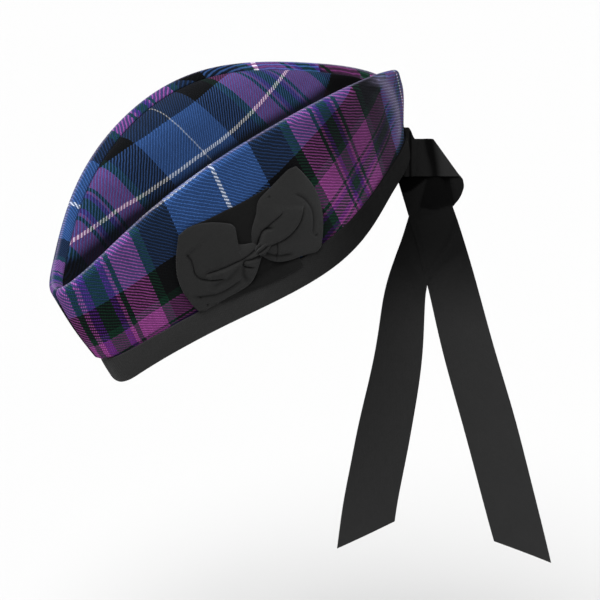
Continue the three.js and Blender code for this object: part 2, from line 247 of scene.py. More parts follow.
# Painted shade on the sides, at the front and over the flanks towards the back.
FRONT_SHADE = 0.1
FRONT_SHADE_RUN = (25.0, 60.0)
FLANK_SHADE = 0.34
FLANK_SHADE_RUN = (130.0, 170.0)
FLANK_SHADE_END = (208.0, 220.0)
SIDE_SHADE_START = (24.0, 44.0)
SIDE_SHADE_TOP = (-6.0, 0.0)
# Painted shade on the crown: strong near the valley's line and lighter further out.
FOLD_SHADE = 0.85
FOLD_SHADE_RUN = (24.0, 35.0)
CROWN_SHADE = 0.36
CROWN_SHADE_RUN = (40.0, 75.0)
DARKEST = -0.95

# The cockade lies on the left side. Outlines are (distance along the lower edge from the front
# seam, height above the lower edge), at equal steps from the knot to the loop's free end.
FRONT_LOOP_UPPER = (
    (101.5, 36.8), (96.0, 39.2), (91.6, 43.6), (94.4, 51.5), (89.5, 57.8), (79.0, 63.8), (67.2, 66.0),
)
FRONT_LOOP_LOWER = (
    (101.0, 28.5), (96.5, 23.3), (91.0, 18.2), (85.0, 16.3), (76.5, 15.6), (67.5, 15.2), (59.0, 14.0),
)
REAR_LOOP_UPPER = (
    (100.2, 38.5), (103.5, 46.0), (108.6, 52.0), (112.2, 57.8), (119.5, 60.8), (128.5, 63.2), (137.6, 65.5),
)
REAR_LOOP_LOWER = (
    (101.8, 28.5), (105.0, 23.8), (109.5, 20.2), (114.5, 18.3), (120.0, 17.0), (125.5, 15.0), (131.0, 12.8),
)
BACKING_UPPER = ((74.0, 64.6), (85.0, 63.0), (96.0, 62.3), (108.0, 61.6), (121.0, 61.6))
BACKING_LOWER = ((71.0, 13.6), (83.0, 12.5), (96.0, 11.4), (108.0, 10.8), (119.0, 10.8))
COCKADE_BACK = 1.8
LOOP_CORNER = 0.06
LOOP_CORNER_RUN = (0.9, 1.0)
LOOP_KNOT_RUN = (0.0, 0.25)
LOOP_KNOT_OUT = 2.2
LOOP_OUT = 3.3
LOOP_PUFF = 3.4
LOOP_UNEVENNESS = 0.35
LOOP_WAVES = 2.2
BACKING_OUT = (3.5, 1.8)
BACKING_STEP = (15.6, 19.0)
# Painted shade over the whole backing.
BACKING_SHADE = 0.5
BACKING_THICKNESS = 0.8
BACKING_UNEVENNESS = 0.25
BACKING_WAVES = 2.0
KNOT_PLACE = (104.0, 33.8)
KNOT_LEAN = np.radians(28.0)
KNOT_HALF = (4.6, 3.0, 2.8)
KNOT_OUT = 5.6
KNOT_PLEATS = 6
KNOT_PLEAT_DEPTH = 0.16
KNOT_TWIST = 2.6
KNOT_FLARE = 0.25
# Painted shade in the knot's pleat valleys.
KNOT_SHADE = 0.75

# Folds of the cockade: a smooth line, a valley's depth and width along it, and the rise of the
# cloth on the line's left side with how far that rise reaches.
Fold = namedtuple("Fold", "line depth width rise reach", defaults=(0.0, 1.0))
FRONT_FOLDS = (
    Fold(((101.8, 34.2), (93.3, 33.4), (85.4, 33.9), (78.7, 34.2), (73.0, 35.0)), 1.5, 0.8, 1.7, 9.0),
    Fold(
        ((65.7, 50.5), (66.2, 46.2), (65.3, 41.2), (65.3, 37.2), (67.4, 33.2), (71.8, 30.5), (76.4, 28.6)),
        0.8, 0.65, -1.2, 8.0,
    ),
    Fold(((99.6, 30.0), (94.6, 31.4), (91.2, 31.6), (90.4, 29.6), (92.6, 27.6)), 2.3, 1.0),
    Fold(((90.6, 30.0), (88.8, 26.6), (88.6, 23.0)), 1.0, 2.2),
    Fold(((62.6, 24.6), (68.7, 22.0), (75.9, 21.2), (83.0, 22.4)), 0.8, 1.6, 0.5, 5.0),
    Fold(((86.0, 30.2), (80.0, 27.6), (74.0, 27.2)), 0.6, 2.0),
)
REAR_FOLDS = (
    Fold(((101.6, 34.5), (103.2, 37.4), (105.6, 40.6), (108.2, 42.6), (110.6, 42.0)), 2.1, 0.9, -1.2, 6.0),
    Fold(((108.4, 42.8), (113.4, 44.6), (118.6, 46.0)), 0.9, 0.7, 0.9, 5.0),
    Fold(
        ((104.4, 34.0), (109.4, 33.2), (115.4, 32.6), (121.0, 33.6), (126.5, 36.6), (130.2, 40.6)),
        1.1, 0.7, 1.5, 7.0,
    ),
    Fold(((132.2, 49.0), (134.2, 45.2), (135.3, 38.5), (133.8, 32.0), (131.4, 27.0)), 0.6, 1.0),
    Fold(((111.0, 31.8), (110.0, 28.0), (108.4, 24.6)), 0.9, 0.8, 0.8, 3.0),
    Fold(((104.0, 30.4), (108.0, 25.8), (113.5, 22.8)), 1.0, 1.5),
)
FRONT_DIMPLES = ((62.4, 23.8), (64.1, 17.6))
REAR_DIMPLES = ((131.8, 23.2), (118.0, 57.6))
DIMPLE_DEPTH = 0.7
DIMPLE_RADIUS = 0.7
# Painted shade in the stitch dimples and along the folds' valleys.
DIMPLE_SHADE = 0.9
FOLD_DARKNESS = 0.85
FOLD_DARKEST = 0.96

# Each loop: its outlines, how far its free end bulges, its folds and its stitch dimples.
Loop = namedtuple("Loop", "upper lower bulge folds dimples")
LOOPS = {
    "cockade_loop_front": Loop(FRONT_LOOP_UPPER, FRONT_LOOP_LOWER, -6.8, FRONT_FOLDS, FRONT_DIMPLES),
    "cockade_loop_rear": Loop(REAR_LOOP_UPPER, REAR_LOOP_LOWER, 7.9, REAR_FOLDS, REAR_DIMPLES),
}

# The ribbons hang in an upright plane through the back of the cap. A place in it is its distance
# across from the cap's back, its height and how far it stands in front of the plane, towards the
# left side. The left ribbon comes out level, folds behind itself on a slant and hangs.
RIBBON_TURN = np.radians(-40.9)
RIBBON_ORIGIN = np.array((102.2, 0.0, 58.0))
RIBBON_ASIDE = 0.45
RIBBON_WIDTH = 31.0
FOLD_START = -4.2
FOLD_CENTRE = 25.4
FOLD_HEIGHT = -16.0
FOLD_SLANT = np.radians(-54.0)
FOLD_RADIUS = 1.6
FOLD_HALF_HEIGHT = 11.0
FOLD_FADE = 30.0
LEFT_END = 265.5
LEFT_CUT = 13.8
LEFT_RISE = 6.8
LEFT_RISE_RUN = (3.5, 11.5)
LEFT_WIDENING = (75.0, 210.0)

# Where the wrap and the ribbon below it take over from each other, as distances past the fold.
WRAP_BLEND = (-0.5, 2.5)
BELOW_BLEND = (-2.5, 0.5)
CORNER_BLEND = (-1.0, 2.0)
SWAY_BLEND = (0.0, 6.0)

# The left ribbon's corner below the fold bulges; further down it is drawn aside, and sways by an
# amount within a reach of each height. Runs down the ribbons are depths below their origin.
CORNER_BULGE = 3.6
CORNER_RUNS = ((23.0, 33.0), (35.0, 49.0))
SPREAD = 0.172
SPREAD_HEIGHT = -80.0
SPREAD_SOFTNESS = 8.0
LEFT_SWAYS = ((-140.0, 1.6, 34.0), (-62.0, 0.6, 16.0), (-95.0, -1.0, 20.0), (-225.0, -0.9, 25.0))
LEFT_FACET = 3.0
LEFT_FACET_EDGE = (27.0, 31.5)
LEFT_FACET_SLANT = 0.2
LEFT_FACET_RUNS = ((22.0, 30.0), (38.0, 47.0))
FACET_HEIGHT = -27.0

# Height, centre and half width of the right ribbon, at equal steps down it.
RIGHT_TAIL = np.array(
    [
        (-8.0, 4.5, 12.5),
        (-48.0, 18.3, 13.9),
        (-88.0, 30.2, 14.6),
        (-128.0, 40.6, 15.6),
        (-168.0, 52.2, 16.2),
        (-208.0, 63.0, 16.4),
        (-252.5, 74.7, 17.3),
    ]
)
RIGHT_CUT = -6.8
RIGHT_CUT_POWER = 8
RIGHT_FACET = 1.7
RIGHT_FACET_EDGE = 15.4
RIGHT_FACET_SLANT = 0.26
RIGHT_FACET_BLEND = (-0.8, 2.2)
RIGHT_FACET_RUNS = ((24.0, 30.0), (44.0, 54.0))
NECK_PRESS = 0.4
NECK_PRESS_RUN = (40.0, 50.0)
NECK_FLAT = 0.75
NECK_FLAT_RUN = (20.0, 26.0)

# The hanging ribbons' slow bends: wave heights and lengths, reached in full at the bottom.
HANG_LENGTH = 250.0
HANG_WAVE = 1.6
HANG_WAVE_LENGTH = 46.0
HANG_CUP = 0.9
HANG_CUP_LENGTH = 63.0
LEFT_PHASE = 0.4
RIGHT_PHASE = 1.9

# Creases in the ribbons' plane, as (across, height) lines.
WRAP_FOLDS = (
    Fold(((5.0, 2.0), (5.2, -8.0), (5.1, -17.0), (5.3, -27.0)), 1.5, 0.8),
    Fold(((0.9, 1.0), (0.8, -9.0), (0.9, -18.0), (1.2, -27.0)), 1.5, 0.8),
    Fold(((9.6, -3.0), (9.4, -12.0), (9.0, -20.0), (8.2, -27.0)), 0.45, 1.2),
    Fold(((15.6, -4.0), (17.2, -11.0), (19.0, -18.0), (20.6, -25.5)), 1.3, 2.6),
)
NECK_FOLDS = (
    Fold(((9.0, -49.5), (15.0, -46.5), (23.0, -44.6), (33.0, -44.0)), 0.6, 1.5, -1.3, 9.0),
    Fold(((33.0, -51.0), (28.4, -64.0), (22.0, -74.0), (16.1, -81.5)), 0.5, 0.9, 1.0, 9.0),
    Fold(((8.6, -54.0), (11.2, -62.0), (13.4, -70.0), (15.6, -78.0)), 0.4, 0.8),
    Fold(((33.5, -73.0), (27.4, -78.2), (20.4, -84.0), (17.0, -90.0)), 1.6, 3.6),
)
LEFT_TAIL_FOLDS = (
    Fold(((2.0, -75.0), (5.3, -82.5), (10.0, -88.5), (14.0, -95.0)), 1.6, 3.6),
)

# Painted shade on the ribbons: outlines of the painted shadow in the hollow and on the panel under
# the fold, painted streaks as a line with its depth and width, and painted shade fading down the ribbons.
HOLLOW = ((-4.0, -25.0), (18.0, -25.0), (15.1, -27.4), (6.0, -34.4), (-4.0, -37.0))
PANEL = ((15.4, -24.0), (28.4, -24.0), (32.4, -42.5), (20.0, -46.5), (10.4, -44.2))
HOLLOW_SHADE = 0.94
PANEL_SHADE = 0.84
TAIL_SHADE = 0.68
TAIL_SHADE_RUN = (60.0, 122.0)
WRAP_SHADES = (
    (((16.2, -4.5), (17.6, -11.0), (19.4, -18.0), (20.4, -25.5)), 0.6, 2.8),
    (((5.0, 2.0), (5.2, -8.0), (5.1, -17.0), (5.3, -27.0)), 0.6, 0.8),
    (((-0.4, 3.0), (-0.3, -9.0), (-0.2, -18.0), (0.2, -27.0)), 0.7, 1.6),
)
# Painted shade over the wrap, painted light on it away from the cap, and the darkest the wrap may be.
WRAP_SHADE = 0.5
WRAP_LIGHT = 0.42
WRAP_LIGHT_RUN = (15.0, 25.0)
WRAP_DARKEST = -0.85
WRAP_RISE = 1.1
WRAP_RISE_WIDTH = 8.0

# Each piece: the node it replaces, its material's slot, the flat width and length of its cloth in
# metres, the way it is held, what it lies on or hangs from, and its flat area in square metres
# where the cut isn't a rectangle.
Cut = namedtuple("Cut", "node slot flat held rests_on area", defaults=(None,))
SIDE_CUT = ("tartan_cloth", (0.1, 0.276), "stretched", ("binding_band", "tartan_crown"), 0.0236)
TARTAN_SIDES = ("tartan_side_left", "tartan_side_right")
CUTS = {
    "tartan_side_left": Cut("side_left", *SIDE_CUT),
    "tartan_side_right": Cut("side_right", *SIDE_CUT),
    "tartan_crown": Cut("crown", "tartan_cloth", (0.2, 0.245), "stretched", TARTAN_SIDES, 0.03),
    "binding_band": Cut("band", "binding", (0.034, 0.55), "folded", TARTAN_SIDES),
    "cockade_loop_front": Cut(
        "cockade_lobe_front", "cockade_ribbon", (0.043, 0.047), "folded", ("cockade_backing",)
    ),
    "cockade_loop_rear": Cut(
        "cockade_lobe_rear", "cockade_ribbon", (0.042, 0.046), "folded", ("cockade_backing",)
    ),
    "cockade_backing": Cut(
        "cockade_back", "cockade_ribbon", (0.05, 0.05), "laid", ("tartan_side_left", "binding_band")
    ),
    "cockade_pinch": Cut(
        "cockade_knot", "cockade_ribbon", (0.01, 0.0105), "gathered", ("cockade_backing",)
    ),
    "ribbon_tail_left": Cut("tail_left", "tail_ribbon", (0.031, 0.27), "hung", ("binding_band",)),
    "ribbon_tail_right": Cut("tail_right", "tail_ribbon", (0.033, 0.25), "hung", ("binding_band",)),
}

# How many steps each surface has, and the share of it that is closer stepped at its edges.
SIDE_GRID = (330, 56)
ROLL_STEPS = 9
CROWN_GRID = (316, 138)
BAND_STATIONS = 331
BAND_STEPS = (22, 14, 18)
LOOP_GRID = (120, 110)
BACKING_GRID = (60, 60)
KNOT_GRID = (48, 72)
LEFT_TAIL_STEPS = (70, 26, 260)
LEFT_TAIL_END_STEPS = (0.7, 0.45, 0.25, 0.12, 0.04, 0.0)
LEFT_TAIL_COLUMNS = 44
RIGHT_TAIL_GRID = (250, 46)
CLOTH_EDGE = 0.004
LOOP_EDGE = 0.012
BACKING_EDGE = 0.01
TAIL_EDGE = 0.008
TAIL_END_EDGE = 0.003

# The camera looks at VIEW_CENTRE from an azimuth off the cap's left, aimed aside and down from it.
VIEW_AZIMUTH = np.radians(-40.94)
VIEW_ELEVATION = np.radians(7.13)
VIEW_CENTRE = np.array((0.0, 0.0, 40.0))
VIEW_DISTANCE = 1347.3
VIEW_ASIDE = 17.78
VIEW_DOWN = 68.07
LENS = 145.24

# Each sun: name, azimuth and elevation in degrees, strength and width in degrees. The floor's
# height and radius are in scene units.
SUNS = (("key", -55.0, 46.0, 5.9, 40.0), ("side", -115.0, 42.0, 1.0, 60.0))
ROOM_LIGHT = 0.34
FLOOR_COLOUR = (0.52, 0.52, 0.52, 1.0)
FLOOR_HEIGHT = -0.32
FLOOR_RADIUS = 14.0
FLOOR_SIDES = 128


def settings():
    """The sizes and colours that the panel shows."""
    return bpy.context.scene.glengarry


def to_metres(points):
    """Points of the part frame in millimetres, in scene units."""
    return points * MM


def tip(points):
    """The cap frame's points in the part frame: turned about Y by the pitch, nose down."""
    c, s = np.cos(PITCH), np.sin(PITCH)
    x, y, z = np.moveaxis(points, -1, 0)
    return np.stack([x * c - z * s, y, x * s + z * c], -1)


def smooth(value, start, end):
    """0 before start, 1 after end and 3s^2 - 2s^3 of the share s between them."""
    s = np.clip((value - start) / (end - start), 0.0, 1.0)
    return s * s * (3.0 - 2.0 * s)


def fade(value, start, end):
    """1 before start and 0 after end: one less the smooth step between them."""
    return 1 - smooth(value, start, end)


def window(value, start, end):
    """0, rising smoothly to 1 over the pair start and falling back to 0 over the pair end."""
    return smooth(value, *start) * fade(value, *end)


def hump(value, place, width):
    """exp(-((value - place) / width)^2): 1 at the place and almost none two widths away."""
    return np.exp(-(((value - place) / width) ** 2))


def blend(pair, share):
    """The first of a pair at share 0, the second at share 1 and a straight line between them."""
    return pair[0] + (pair[1] - pair[0]) * share


def stacked(*fields):
    """The fields of one grid, each whole or along one way of it, side by side on a last axis."""
    return np.stack(np.broadcast_arrays(*fields), -1)


def run_along(points, axis=0):
    """Distance of each point from the first of its line, summed over the steps between them."""
    steps = np.linalg.norm(np.diff(points, axis=axis), axis=-1)
    start = np.zeros_like(np.take(steps, [0], axis=axis))
    return np.concatenate([start, np.cumsum(steps, axis=axis)], axis=axis)


def edge_shares(count, margin):
    """Shares from 0 to 1, closer together inside a margin at each end, for a rounded edge."""
    near = margin * (1 - np.cos(np.linspace(0, np.pi / 2, 5)))
    middle = np.linspace(margin, 1 - margin, count)
    return np.concatenate([near[:-1], middle, 1 - near[-2::-1]])


def natural_spline(values, share):
    """A natural cubic spline through rows of values at equal steps, read at shares from 0 to 1.

    The second derivatives m solve h m[i-1] / 6 + 2 h m[i] / 3 + h m[i+1] / 6 =
    (v[i+1] - 2 v[i] + v[i-1]) / h with none at the ends; between two rows the value is
    a v[i] + b v[i+1] + ((a^3 - a) m[i] + (b^3 - b) m[i+1]) h^2 / 6, with a + b = 1.
    """
    values = np.asarray(values, float)
    share = np.asarray(share, float)
    last = len(values) - 1
    h = 1.0 / last
    system = np.eye(last + 1)
    middle = np.arange(1, last)
    system[middle, middle - 1] = h / 6
    system[middle, middle] = 2 * h / 3
    system[middle, middle + 1] = h / 6
    right = np.zeros_like(values)
    right[middle] = (values[middle + 1] - 2 * values[middle] + values[middle - 1]) / h
    bend = np.linalg.solve(system, right)
    i = np.clip(np.floor(share * last).astype(int), 0, last - 1)
    b = share * last - i
    b = b.reshape(b.shape + (1,) * (values.ndim - 1))
    a = 1 - b
    cubic = (a**3 - a) * bend[i] + (b**3 - b) * bend[i + 1]
    return a * values[i] + b * values[i + 1] + cubic * h * h / 6


def plan_curve(t, ends, column):
    """x = front + (back - front)(1 - cos pi t) / 2 and y = spline(t), with the outward normal.

    The normal is (-dy, dx) over its length, and dx counts as none at the two tips.
    """
    delta = 1e-4

    def at(t):
        x = ends[0] + (ends[1] - ends[0]) * (1 - np.cos(np.pi * t)) / 2
        return x, natural_spline(SECTIONS[:, column], t)

    x, y = at(t)
    x0, y0 = at(np.clip(t - delta, 0, 1))
    x1, y1 = at(np.clip(t + delta, 0, 1))
    run = np.where((t <= 0) | (t >= 1), 0.0, x1 - x0)
    length = np.hypot(run, y1 - y0)
    return x, y, -(y1 - y0) / length, run / length


def ridge_point(t, inward, drop):
    """The ridge's plan curve moved in from its rounded edge, at the ridge's height less a drop."""
    x, y, nx, ny = plan_curve(t, RIDGE_ENDS, RIDGE_HALF)
    offset = RIDGE_ROUND - inward
    z = natural_spline(SECTIONS[:, RIDGE_HEIGHT], t) - drop
    return stacked(x + nx * offset, y + ny * offset, z)


def wall_frame(t):
    """Foot of the side wall, unit vector up it, its height and its outward normal in plan.

    The foot is the lower edge's plan curve moved out by BASE_ROUND, and the wall rises straight
    from it to the start of the ridge's roll.
    """
    x, y, nx, ny = plan_curve(t, BASE_ENDS, BASE_HALF)
    foot = stacked(x + nx * BASE_ROUND, y + ny * BASE_ROUND, WALL_FOOT)
    up = ridge_point(t, 0.0, RIDGE_ROLL) - foot
    height = np.linalg.norm(up, axis=-1)
    return foot, up / height[..., None], height, stacked(nx, ny, 0.0)


EDGE_STATIONS = np.linspace(0, 1, 801)
EDGE_LENGTHS = run_along(wall_frame(EDGE_STATIONS)[0])


def along_edge(t):
    """Distance along the lower edge from the front seam to a station."""
    return np.interp(t, EDGE_STATIONS, EDGE_LENGTHS)


def station_at(along):
    """The station at a distance along the lower edge from the front seam."""
    return np.interp(along, EDGE_LENGTHS, EDGE_STATIONS)


def wall_point(t, height, out):
    """foot + up * height + normal * out, with the wall's shape at the front and back seams.

    Both seams bow out by sin(pi share of height^BOW_POWER). The binding's part of the wall is set in
    at the front. At the back it is dropped, and pinched in by a hump a short way along each flank.
    The front inset, the bows and the drop fade as exp(-distance from the seam / their fade).
    """
    foot, up, full, normal = wall_frame(t)
    height, out = np.asarray(height, float), np.asarray(out, float)
    points = foot + up * height[..., None] + normal * out[..., None]
    along = along_edge(t)
    rest = EDGE_LENGTHS[-1] - along
    arch = np.sin(np.pi * np.clip(height / full, 0, 1) ** BOW_POWER)
    inset = blend(FRONT_INSET, np.clip(height / BAND_HEIGHT, 0, 1))
    inset = inset * np.exp(-along / FRONT_INSET_FADE) * fade(height, *FRONT_INSET_TOP)
    pinch_width = np.where(rest < BACK_PINCH_PLACE, *BACK_PINCH_RUN)
    pinch = BACK_PINCH * hump(rest, BACK_PINCH_PLACE, pinch_width) * fade(height, *BACK_PINCH_TOP)
    front_bow = FRONT_BOW * arch * np.exp(-along / FRONT_BOW_FADE)
    back_bow = BACK_BOW * arch * np.exp(-rest / BACK_BOW_FADE)
    points[..., 0] += inset - front_bow - pinch + back_bow
    points[..., 2] -= BACK_DROP * np.exp(-rest / BACK_DROP_FADE) * fade(height, *BACK_DROP_TOP)
    return points


def on_one_side(points, side):
    """The points mirrored to a side, with none past the middle plane."""
    points[..., 1] = side * np.maximum(points[..., 1], 0.0)
    return points


def soft_waves(u, v, size):
    """Slow unevenness of sewn cloth: three sine waves of different lengths, added."""
    slow = 0.5 * np.sin(u / 17.0 + 0.6) * np.sin(v / 23.0 + 1.1)
    cross = 0.3 * np.sin(u / 9.1 + v / 14.3 + 2.0)
    quick = 0.2 * np.sin(u / 5.3 - v / 11.0 + 0.3)
    return size * (slow + cross + quick)


def line_field(u, v, line):
    """Signed distance of points from a smooth line, positive on its left, and how far past its ends.

    The line is a natural spline; each point is measured in the frame of its nearest sample.
    """
    samples = 80
    points = natural_spline(line, np.linspace(0, 1, samples))
    tangents = np.gradient(points, axis=0)
    spacing = np.linalg.norm(tangents, axis=1)
    tangents /= spacing[:, None]
    du = u[..., None] - points[:, 0]
    dv = v[..., None] - points[:, 1]
    near = np.argmin(du**2 + dv**2, axis=-1)[..., None]
    du = np.take_along_axis(du, near, -1)[..., 0]
    dv = np.take_along_axis(dv, near, -1)[..., 0]
    tangent = tangents[near[..., 0]]
    side = tangent[..., 0] * dv - tangent[..., 1] * du
    past = np.abs(tangent[..., 0] * du + tangent[..., 1] * dv) - spacing.mean()
    return side, np.maximum(past, 0.0)


def folds_relief(u, v, folds):
    """Sum over folds of a valley, -depth exp(-(d / width)^2), and a step on the line's left side.

    The step is rise exp(-d / reach) beyond the line, eased in from 0.3 widths before it to 1.2 past
    it. Past the line's ends both fade as a hump of 1.5 widths and half a millimetre.
    """
    relief = np.zeros_like(u)
    for fold in folds:
        side, past = line_field(u, v, fold.line)
        ending = hump(past, 0, 1.5 * fold.width + 0.5)
        relief -= fold.depth * hump(side, 0, fold.width) * ending
        if fold.rise:
            step = smooth(side, -0.3 * fold.width, 1.2 * fold.width)
            relief += fold.rise * step * np.exp(-np.maximum(side, 0) / fold.reach) * ending
    return relief


def folds_shade(u, v, folds):
    """Painted shade in the folds' valleys, as the darkest of humps of 0.62 widths across their lines.

    A valley is FOLD_DARKNESS times its depth over its width dark, up to FOLD_DARKEST.
    """
    shade = np.zeros_like(u)
    for fold in folds:
        side, past = line_field(u, v, fold.line)
        dark = min(FOLD_DARKEST, FOLD_DARKNESS * fold.depth / fold.width)
        near = hump(side, 0, 0.62 * fold.width) * hump(past, 0, 1.2 * fold.width + 0.4)
        shade = np.minimum(shade, -dark * near)
    return shade


def line_shade(u, v, shades):
    """Painted shade in streaks along lines: minus the depth times exp(-(distance / width)^2)."""
    shade = np.zeros_like(u)
    for line, depth, width in shades:
        side, past = line_field(u, v, line)
        shade -= depth * hump(side, 0, width) * hump(past, 0, width)
    return shade


def dimples(u, v, places):
    """Pits where stitches pull the cloth down: minus the depth times exp(-(distance / radius)^2)."""
    relief = np.zeros_like(u)
    for place in places:
        relief -= DIMPLE_DEPTH * hump(np.hypot(u - place[0], v - place[1]), 0, DIMPLE_RADIUS)
    return relief


def inside(u, v, corners):
    """1 inside a convex outline given by its corners and 0 outside, eased over 1.2 mm at its sides."""
    share = np.ones_like(u)
    corners = np.asarray(corners, float)
    for start, end in zip(corners, np.roll(corners, -1, axis=0)):
        along = (end - start) / np.linalg.norm(end - start)
        side = along[0] * (v - start[1]) - along[1] * (u - start[0])
        share = share * smooth(-side, -0.6, 0.6)
    return share


def grid_normals(points):
    """Unit normals of a grid: the cross product of its two directions."""
    normals = np.cross(np.gradient(points, axis=0), np.gradient(points, axis=1))
    length = np.linalg.norm(normals, axis=-1, keepdims=True)
    return normals / np.maximum(length, 1e-9)


def edge_taper(points, radius):
    """Share of the full thickness at each point: a quarter circle inside each of the grid's edges."""
    taper = np.ones(points.shape[:2])
    for axis in (0, 1):
        run = run_along(points, axis)
        span = np.take(run, [-1], axis=axis)
        share = 1 - np.clip(np.minimum(run, span - run) / radius, 0, 1)
        taper *= np.sqrt(np.clip(1 - share**2, 0, 1))
    return taper


def quads(index):
    """The four corners of each cell of a grid of vertex numbers."""
    return np.stack([index[:-1, :-1], index[1:, :-1], index[1:, 1:], index[:-1, 1:]], -1).reshape(-1, 4)


def closed_sheet(points, thickness):
    """Vertices and faces of a cloth sheet: middle surface +- normal * thickness / 2 * edge taper.

    The taper brings both faces together at the edges, where they share their vertices.
    """
    rows, columns = points.shape[:2]
    half = grid_normals(points) * (edge_taper(points, thickness / 2) * thickness / 2)[..., None]
    inner = (points - half)[1:-1, 1:-1]
    front = np.arange(rows * columns).reshape(rows, columns)
    back = front.copy()
    back[1:-1, 1:-1] = rows * columns + np.arange(inner.shape[0] * inner.shape[1]).reshape(inner.shape[:2])
    vertices = np.concatenate([(points + half).reshape(-1, 3), inner.reshape(-1, 3)])
    return vertices, np.concatenate([quads(front), quads(back)[:, ::-1]])


def signed_volume(vertices, faces):
    """Volume inside a closed mesh of quads, times six, by the tetrahedra from the origin."""
    a, b, c, d = (vertices[faces[:, i]] for i in range(4))
    return np.einsum("ij,ij->", a, np.cross(b, c) + np.cross(c, d))


def add_piece(name, vertices, faces, cloth, material):
    """Makes the mesh object, points its faces outwards, ties it to the frame and hides the part it
    replaces.

    cloth is the cloth attribute's value at each vertex.
    """
    old = bpy.data.objects.get(name)
    if old is not None:
        bpy.data.objects.remove(old)
    if signed_volume(vertices, faces) < 0:
        faces = faces[:, ::-1]
    mesh = bpy.data.meshes.new(name)
    corners = faces.shape[1]
    mesh.vertices.add(len(vertices))
    mesh.vertices.foreach_set("co", to_metres(vertices).astype(np.float32).ravel())
    mesh.loops.add(faces.size)
    mesh.loops.foreach_set("vertex_index", faces.astype(np.int32).ravel())
    mesh.polygons.add(len(faces))
    mesh.polygons.foreach_set("loop_start", np.arange(0, faces.size, corners, dtype=np.int32))
    mesh.polygons.foreach_set("loop_total", np.full(len(faces), corners, dtype=np.int32))
    mesh.polygons.foreach_set("use_smooth", np.ones(len(faces), dtype=bool))
    mesh.update(calc_edges=True)
    places = mesh.attributes.new("cloth", "FLOAT_VECTOR", "POINT").data
    places.foreach_set("vector", cloth.astype(np.float32).ravel())
    mesh.materials.append(material)
    piece = bpy.data.objects.new(name, mesh)
    bpy.context.scene.collection.objects.link(piece)
    cut = CUTS[name]
    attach(piece, "root")
    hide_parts(cut.node)


def add_sheet(name, points, cloth, thickness, material):
    """A piece of cloth of one thickness, from its middle surface and the cloth value of its points."""
    vertices, faces = closed_sheet(points, thickness)
    both_faces = np.concatenate([cloth.reshape(-1, 3), cloth[1:-1, 1:-1].reshape(-1, 3)])
    add_piece(name, vertices, faces, both_faces, material)


def add_ring(name, points, faces, cloth, material):
    """A piece whose grid of points closes on itself, from its points, faces and cloth values."""
    add_piece(name, points.reshape(-1, 3), faces, cloth.reshape(-1, 3), material)


class Graph:
    """One material's node tree, with short calls that add a node and wire its inputs."""

    def __init__(self, name):
        old = bpy.data.materials.get(name)
        if old is not None:
            bpy.data.materials.remove(old)
        self.material = bpy.data.materials.new(name)
        self.material.use_nodes = True
        self.tree = self.material.node_tree
        self.shader = self.tree.nodes["Principled BSDF"]

    def feed(self, socket, value):
        if isinstance(value, bpy.types.NodeSocket):
            self.tree.links.new(value, socket)
        else:
            socket.default_value = value

    def dress(self, inputs):
        """Sets or wires the shader's own sockets."""
        for key, value in inputs.items():
            self.feed(self.shader.inputs[key], value)

    def node(self, kind, inputs, **options):
        made = self.tree.nodes.new("ShaderNode" + kind)
        for key, value in options.items():
            setattr(made, key, value)
        for key, value in inputs.items():
            self.feed(made.inputs[key], value)
        return made

    def math(self, operation, *values, clamp=False):
        inputs = dict(enumerate(values))
        return self.node("Math", inputs, operation=operation, use_clamp=clamp).outputs[0]

    def multiply(self, first, *others):
        for other in others:
            first = self.math("MULTIPLY", first, other)
        return first

    def vector_math(self, operation, inputs):
        return self.node("VectorMath", inputs, operation=operation).outputs[0]

    def scale(self, colour, factor):
        return self.vector_math("SCALE", {0: colour, 3: factor})

    def split(self, vector):
        return self.node("SeparateXYZ", {0: vector}).outputs

    def cloth(self):
        return self.node("Attribute", {}, attribute_name="cloth").outputs["Vector"]

    def mix(self, share, first, second, kind="MIX"):
        inputs = {0: share, 6: first, 7: second}
        return self.node("Mix", inputs, data_type="RGBA", blend_type=kind).outputs[2]

    def noise(self, vector, scale, detail, output="Fac"):
        inputs = {"Vector": vector, "Scale": scale, "Detail": detail}
        return self.node("TexNoise", inputs).outputs[output]

    def random(self, value):
        return self.node("TexWhiteNoise", {"W": value}, noise_dimensions="1D").outputs["Value"]

    def between(self, value, low, high):
        """low + (high - low) * value."""
        return self.math("MULTIPLY_ADD", value, high - low, low)

    def uneven(self, vector, scale, detail, low, high):
        """Noise of a scale and detail, from low to high."""
        return self.between(self.noise(vector, scale, detail), low, high)

    def darkness(self, shade):
        """1 less the painted shade: the attribute's third value where it is below 0."""
        return self.math("ADD", self.math("MINIMUM", shade, 0.0), 1.0)

    def bump(self, height, distance):
        inputs = {"Height": height, "Distance": distance, "Strength": 0.7}
        self.dress({"Normal": self.node("Bump", inputs).outputs[0]})


def rgba(colour):
    """A colour with its fourth part, the alpha, full."""
    return (*colour, 1.0)


def sett_ramp(graph, thread, colours, white):
    """The colour of a thread: its place folded back at each end of the sett, read on a ramp."""
    folded = graph.math("PINGPONG", thread, SETT_TURN)
    ramp = graph.node("ValToRGB", {0: graph.math("DIVIDE", folded, SETT_TURN)})
    ramp.color_ramp.interpolation = "CONSTANT"
    elements = ramp.color_ramp.elements
    elements.remove(elements[-1])
    start = 0.0
    for i, (name, end) in enumerate((("white", white), *SETT[1:])):
        element = elements[0] if i == 0 else elements.new(start / SETT_TURN)
        element.position = start / SETT_TURN
        element.color = rgba(getattr(colours, name))
        start = end
    return ramp.outputs[0]


